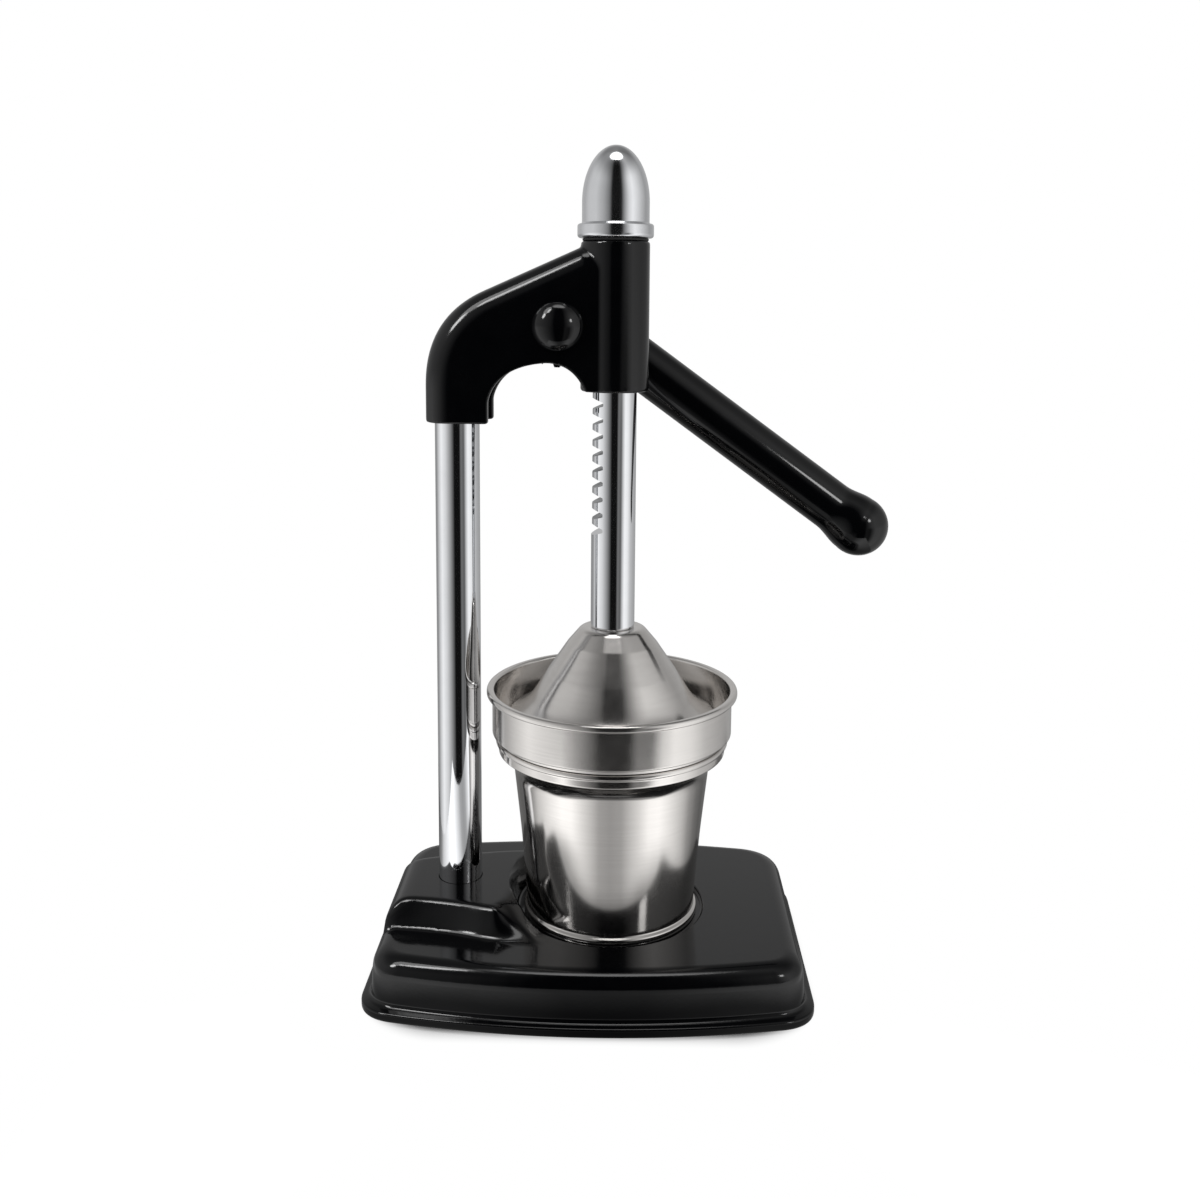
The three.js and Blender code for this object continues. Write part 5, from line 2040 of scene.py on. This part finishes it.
        def place(row: int, column: int) -> Place:
            """A point of the skin: the cone's outside swells along each rib.

            Args:
                row: Where it is along the profile.
                column: Where it is round the axis.

            Returns:
                The point.
            """
            radius, height = profile[row % len(profile)]
            angle = FULL_TURN * column / self.columns
            if first < row <= last:
                share = (row - first) / (last - first)
                ridge = max(math.cos(self.ribs * angle / 2.0) ** 2, 0.0) ** self.rib_sharpness
                fading = math.sin(math.pi * min(share * self.rib_end, 1.0)) ** 0.5
                radius += self.rib_height * ridge * fading
            return radius * math.cos(angle), radius * math.sin(angle), height

        bm = woven(len(profile) + 1, self.columns, place)
        near, far, half = self.slot
        slots = []
        for index in range(self.slots):
            cutter = block((near, -half, dish - self.slot_past), (far, half, dish + self.slot_past))
            slots.append(moved(cutter, Matrix.Rotation(FULL_TURN * (index + 0.5) / self.slots, 4, "Z")))
        bm = combined(bm, Join.CUT, [joined(slots)])
        self.shop.replace(self.placed(bm), "reamer_cone", "reamer_strainer")

    def build(self) -> None:
        """Builds the three pieces."""
        self.build_cup()
        self.build_bowl()
        self.build_reamer()


@dataclass
class Lever(Assembly):
    """The lever behind the head, with its shaft and pinion."""

    angle: float = -0.6318
    offset: float = 0.0073
    hub_radius: float = 0.015
    stub_radius: float = 0.0105
    grip_radius: float = 0.0125
    ball_radius: float = 0.0151
    grip_start: float = 0.03
    ball_centre: float = 0.1794
    neck_length: float = 0.017
    core_radius: float = 0.00615
    core_start: float = 0.0137
    core_end: float = 0.1603
    core_past: float = 0.033
    ball_start: float = 1.1 * QUARTER_TURN
    ball_steps: int = 32
    swell_steps: int = 12
    grip_edge: float = 0.0012
    hub_edge: float = 0.0016
    stub_edge: float = 0.0006
    stub_start: float = 0.002
    stub_end: float = 0.0296
    hub_bore: float = 0.0047
    hub_sink: float = 0.0096
    sink_start: float = 0.0001
    bore_past: Pair = (0.01, 0.03)
    voxel: float = 0.0006
    smoothing: int = 4
    shaft_radius: float = 0.006
    shaft_edge: float = 0.0005
    square: float = 0.0044
    square_gap: float = 0.0003
    neck: float = 0.0038
    thread_gap: float = 0.00015
    thread_radius: float = 0.004
    thread_end: float = 0.0006
    thread_pitch: float = 0.00125
    shaft_tip: float = 0.003
    fixing_bore: float = 0.00415
    nut_flats: float = 0.013

    def __post_init__(self) -> None:
        """Takes the lever's axis from its nodes."""
        super().__post_init__()
        gear = middle("pinion_gear")
        self.pivot = (gear.x, gear.z)
        self.hub = (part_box("lever_hub")[0].y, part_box("lever_washer")[0].y - self.square_gap)
        self.across = middle("lever_core").y

    def along(self) -> Matrix:
        """Turns a solid about +Z so that it points along the lever.

        Returns:
            The matrix.
        """
        x = self.pivot[0] - math.sin(self.angle) * self.offset
        z = self.pivot[1] + math.cos(self.angle) * self.offset
        return Matrix.Translation((x, self.across, z)) @ Matrix.Rotation(QUARTER_TURN - self.angle, 4, "Y")

    def on_shaft(self) -> Matrix:
        """Turns a solid about +Z so that it points along the shaft."""
        return facing_back(*self.pivot)

    def build_hub(self) -> None:
        """Builds the cast hub with its stub."""
        front, back = self.hub
        before, behind = self.bore_past
        disc = moved(rod_solid(self.hub_radius, front, back, self.hub_edge, SEGMENTS), self.on_shaft())
        stub = rod_solid(self.stub_radius, self.stub_start, self.stub_end, self.stub_edge, SEGMENTS)
        bore = spindle([(self.hub_bore, front - before), (self.hub_sink, back + self.sink_start),
                        (0.0, back + behind)])
        core = rod_solid(self.core_radius, self.core_start, self.core_past)
        solid = combined(disc, Join.ADD, [moved(stub, self.along())])
        solid = combined(solid, Join.CUT, [moved(bore, self.on_shaft()), moved(core, self.along())])
        self.shop.replace(recast(solid, self.voxel, self.smoothing), "lever_boss", "lever_hub")

    def build_grip(self) -> None:
        """Builds the moulded grip with its ball end."""
        start, neck = self.grip_start, self.ball_centre - self.neck_length
        shank = rounded([
            Corner(self.core_radius, start), Corner(self.grip_radius, start, self.grip_edge),
            Corner(self.grip_radius, neck),
        ], steps=5)
        ball = []
        for step in range(self.ball_steps + 1):
            angle = self.ball_start * (1.0 - step / self.ball_steps)
            height = self.ball_centre + self.ball_radius * math.cos(angle)
            ball.append((self.ball_radius * math.sin(angle), height))
        swell = []
        for step in range(1, self.swell_steps):
            share = step / self.swell_steps
            rise = (1.0 - math.cos(math.pi * share)) / 2.0
            swell.append((self.grip_radius + (ball[0][0] - self.grip_radius) * rise,
                          neck + (ball[0][1] - neck) * share))
        profile = [*shank, *swell, *ball, (0.0, self.core_end), (self.core_radius, self.core_end)]
        self.shop.replace(moved(turn(profile, closed=True), self.along()), "lever_handle", "lever_grip")

    def build_shaft(self) -> None:
        """Builds the shaft with its threaded end, the washer and the nut."""
        low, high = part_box("pinion_shaft")
        front, back = low.y, high.y
        start, shoulder = self.hub[0] - self.square_gap, self.hub[1] + self.thread_gap
        body = rounded([
            Corner(0.0, front), Corner(self.shaft_radius, front, self.shaft_edge),
            Corner(self.shaft_radius, start), Corner(self.square, start), Corner(self.square, shoulder),
            Corner(self.neck, shoulder),
        ], steps=3)
        grooves = thread(self.thread_radius, shoulder, back - self.thread_end, self.thread_pitch)
        bm = turn([*body, *grooves, (self.shaft_tip, back), (0.0, back)], segments=SMALL_SEGMENTS)
        self.shop.replace(moved(bm, self.on_shaft()), "drive_shaft", "pinion_shaft")
        low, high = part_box("lever_washer")
        washer = ring_solid((high.x - low.x) / 2.0, self.fixing_bore, low.y, high.y, WASHER_EDGE)
        self.shop.replace(moved(washer, self.on_shaft()), "hub_washer", "lever_washer")
        low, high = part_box("lever_nut")
        nut = hex_nut(self.nut_flats, low.y, high.y, self.fixing_bore)
        self.shop.replace(moved(nut, self.on_shaft()), "hub_nut", "lever_nut")

    def build(self) -> None:
        """Builds the lever; the pinion, its key and the core inside the grip stay."""
        self.build_hub()
        self.build_grip()
        self.build_shaft()
        # The pinion takes the steel painted dark as shade, so that its teeth under the arch read as shaded.
        self.shop.keep("pinion_gear", finish="dark_steel")
        self.shop.keep("pinion_key", "lever_core")


# Studio


@dataclass(frozen=True)
class Lamp:
    """A soft lamp that points at the press."""

    name: str
    place: Place
    size: Pair
    radiance: float
    target: Place = (0.0, 0.0, 0.2)
    gloss_only: bool = False

    def build(self, black: bpy.types.Collection) -> None:
        """Adds the lamp, unseen by the camera itself.

        Args:
            black: The pieces that a lamp for the black gloss alone lights.
        """
        light = bpy.data.lights.new(self.name, "AREA")
        light.shape = "ELLIPSE"
        light.size, light.size_y = self.size
        light.energy = self.radiance * math.pi * self.size[0] * self.size[1]
        lamp = bpy.data.objects.new(self.name, light)
        lamp.location = self.place
        aim = Vector(self.target) - Vector(self.place)
        lamp.rotation_euler = aim.to_track_quat("-Z", "Y").to_euler()
        lamp.visible_camera = False
        if self.gloss_only:
            lamp.light_linking.receiver_collection = black
        bpy.context.scene.collection.objects.link(lamp)


@dataclass
class Studio:
    """The camera, the pale floor, the white surroundings and the lamps."""

    eye: Place = (-0.004217, -0.59828, 0.32918)
    turn_left: float = math.radians(1.352)
    look_down: float = math.radians(7.388)
    roll: float = math.radians(0.390)
    sensor: float = 36.0
    lens: float = 37.734
    shift_y: float = -0.119
    clip_start: float = 0.01
    floor_size: float = 0.24
    floor_colour: Colour = (0.93, 0.93, 0.93)
    shadow_inset: float = 0.04
    fade: Pair = (0.03, 0.044)
    # The painted shadow in the floor's reflection: darkest near the base, fading out further away.
    reflected_floor_shadow: tuple[float, float, float, float] = (0.055, 0.085, 0.25, 1.0)
    low_room: tuple[Point, ...] = (
        (-180.0, 0.3), (-128.0, 0.3), (-104.0, 0.7), (-84.0, 1.0), (-57.0, 0.74), (-38.0, 0.42),
        (-20.0, 0.14), (-10.0, 0.006), (17.0, 0.006), (25.0, 0.18), (40.0, 0.12), (50.0, 0.6), (62.0, 1.05),
        (80.0, 0.95), (100.0, 0.6), (125.0, 0.45), (180.0, 0.3),
    )
    high_room: tuple[Point, ...] = (
        (-180.0, 0.5), (-128.0, 0.45), (-102.0, 0.6), (-70.0, 0.62), (-40.0, 0.4), (-22.0, 0.2),
        (-12.0, 0.006), (12.0, 0.006), (20.0, 0.02), (32.0, 0.35), (46.0, 0.75), (60.0, 0.95),
        (98.0, 0.55), (122.0, 0.35), (180.0, 0.5),
    )
    # The floor's painted glow as reflections see it, brighter in panels round the press.
    painted_floor_glow: tuple[Point, ...] = (
        (-180.0, 0.2), (-120.0, 0.12), (-101.0, 0.3), (-90.0, 0.7), (-70.0, 1.1), (-55.0, 1.35),
        (-43.0, 1.3), (-30.0, 0.9), (-12.0, 0.43), (0.0, 0.37), (12.0, 0.42), (30.0, 0.85), (43.0, 1.25),
        (55.0, 1.3), (70.0, 1.0), (90.0, 0.6), (101.0, 0.34), (116.0, 0.18), (131.0, 0.12), (180.0, 0.2),
    )
    low_to_high: Pair = (-0.12, 0.06)
    lit_level: float = 0.6
    zenith: Place = (0.45, 0.85, 0.45)
    lamps: tuple[Lamp, ...] = (
        Lamp("overhead", (0.0, -0.25, 1.4), (0.66, 0.3), 2.2),
        Lamp("overhead soft", (0.0, -0.2, 1.45), (0.8, 0.5), 1.0),
        Lamp("upper left", (-0.5, -0.46, 1.1), (0.14, 0.3), 9.0, (0.0, 0.0, 0.3), True),
        Lamp("upper left soft", (-0.62, -0.36, 1.15), (0.4, 0.6), 3.6, (0.0, 0.0, 0.3), True),
        Lamp("far left", (-0.8, -0.5, 0.85), (0.2, 0.3), 14.0, (0.0, 0.0, 0.3), True),
        Lamp("front right", (0.62, -0.62, 0.6), (0.16, 0.16), 9.0, (0.0, 0.0, 0.2), True),
    )

    def build_camera(self) -> None:
        """Adds the camera where the photograph was taken from."""
        data = bpy.data.cameras.new("camera")
        data.sensor_width = self.sensor
        data.lens = self.lens
        data.shift_y = self.shift_y
        data.clip_start = self.clip_start
        camera = bpy.data.objects.new("camera", data)
        turned = Matrix.Rotation(self.turn_left, 4, "Z")
        tilted = Matrix.Rotation(QUARTER_TURN - self.look_down, 4, "X")
        rolled = Matrix.Rotation(self.roll, 4, "Z")
        camera.matrix_world = Matrix.Translation(self.eye) @ turned @ tilted @ rolled
        bpy.context.scene.collection.objects.link(camera)
        bpy.context.scene.camera = camera

    def build_floor(self) -> None:
        """Adds a pale floor that fades into the white around it; in reflections it glows with painted light
        and a painted shadow near the base.
        """
        bm = bmesh.new()
        bmesh.ops.create_grid(bm, x_segments=1, y_segments=1, size=self.floor_size)
        floor = to_object(bm, "floor")
        surface = Surface("floor")
        surface.set(Base_Color=(*self.floor_colour, 1.0), Roughness=0.9, Specular_IOR_Level=0.0)
        nodes = surface.nodes
        low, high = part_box("base_casting")
        parts = nodes.add("ShaderNodeSeparateXYZ")
        nodes.join(surface.vector, parts.inputs[0])
        beyond = []
        for axis in (0, 1):
            centred = nodes.sum("SUBTRACT", parts.outputs[axis], (low[axis] + high[axis]) / 2.0)
            past = nodes.sum("SUBTRACT", nodes.sum("ABSOLUTE", centred),
                             (high[axis] - low[axis]) / 2.0 - self.shadow_inset)
            beyond.append(nodes.sum("POWER", nodes.sum("MAXIMUM", past, 0.0), 2.0))
        distance = nodes.sum("SQRT", nodes.sum("ADD", *beyond))
        path = nodes.add("ShaderNodeLightPath")
        seen = nodes.ramp(distance, *self.fade)
        share = nodes.sum("MAXIMUM", seen, path.outputs["Is Glossy Ray"])
        axis = middle(PRESS_AXIS)
        angle = nodes.sum("ARCTAN2", nodes.sum("SUBTRACT", parts.outputs[0], axis.x),
                          nodes.sum("SUBTRACT", axis.y, parts.outputs[1]))
        share_round = nodes.sum("MULTIPLY_ADD", angle, 1.0 / FULL_TURN, 0.5)
        # Glossy rays see the floor as painted light: a glow that changes round the press, darkened by a
        # painted shadow near the base.
        mirrored = nodes.sum("MULTIPLY", nodes.ramp(distance, *self.reflected_floor_shadow),
                             nodes.levels(share_round, self.painted_floor_glow))
        glow = nodes.add("ShaderNodeEmission")
        nodes.join(nodes.sum("MAXIMUM", mirrored, path.outputs["Is Camera Ray"]), glow.inputs["Strength"])
        mix = nodes.add("ShaderNodeMixShader")
        nodes.join(share, mix.inputs[0])
        nodes.join(surface.shader.outputs[0], mix.inputs[1])
        nodes.join(glow.outputs[0], mix.inputs[2])
        output = surface.material.node_tree.nodes["Material Output"]
        nodes.join(mix.outputs[0], output.inputs["Surface"])
        floor.data.materials.append(surface.material)

    def room_level(self, nodes: Nodes, direction: Socket) -> Socket:
        """How bright the room is in a direction: panels at the sides, dark round the camera.

        Args:
            nodes: The world's nodes.
            direction: The direction.

        Returns:
            The socket that gives the level.
        """
        parts = nodes.add("ShaderNodeSeparateXYZ")
        nodes.join(direction, parts.inputs[0])
        x, y, z = parts.outputs
        angle = nodes.sum("ARCTAN2", x, nodes.sum("MULTIPLY", y, -1.0))
        share = nodes.sum("MULTIPLY_ADD", angle, 1.0 / FULL_TURN, 0.5)
        height = nodes.ramp(z, *self.low_to_high)
        low = nodes.sum("MULTIPLY", nodes.levels(share, self.low_room), nodes.sum("SUBTRACT", 1.0, height))
        level = nodes.sum("MULTIPLY_ADD", nodes.levels(share, self.high_room), height, low)
        start, end, top = self.zenith
        return nodes.sum("MULTIPLY", level, nodes.ramp(z, start, end, 1.0, top))

    def build_world(self) -> None:
        """Adds the room, which the camera sees white and matt surfaces see even."""
        world = bpy.data.worlds.new("studio")
        bpy.context.scene.world = world
        world.use_nodes = True
        nodes = Nodes(world.node_tree)
        background = world.node_tree.nodes["Background"]
        background.inputs["Color"].default_value = (1.0, 1.0, 1.0, 1.0)
        direction = nodes.add("ShaderNodeTexCoord").outputs["Generated"]
        mirrored = self.room_level(nodes, direction)
        path = nodes.add("ShaderNodeLightPath")
        pick = nodes.add("ShaderNodeMix", data_type="FLOAT")
        nodes.join(path.outputs["Is Glossy Ray"], pick.inputs["Factor"])
        pick.inputs[2].default_value = self.lit_level
        nodes.join(mirrored, pick.inputs[3])
        strength = nodes.sum("MAXIMUM", pick.outputs[0], path.outputs["Is Camera Ray"])
        nodes.join(strength, background.inputs["Strength"])

    def build(self) -> None:
        """Builds the whole studio."""
        bpy.context.scene.view_settings.view_transform = "Standard"
        self.build_camera()
        self.build_floor()
        self.build_world()
        black = bpy.data.collections.new("black pieces")
        for piece in bpy.context.scene.objects:
            finishes = [place.material.name for place in piece.material_slots if place.material]
            if any(name.startswith("black") for name in finishes):
                black.objects.link(piece)
        for lamp in self.lamps:
            lamp.build(black)


def main() -> None:
    """Builds the press and the studio."""
    logging.basicConfig(level=logging.INFO, format="%(name)s: %(message)s")
    shop = Workshop(Palette(middle(PRESS_AXIS)))
    for assembly in (Base, Feet, Post, Head, Presser, JuiceSet, Lever):
        assembly(shop).build()
    Studio().build()


if __name__ == "__main__":
    main()
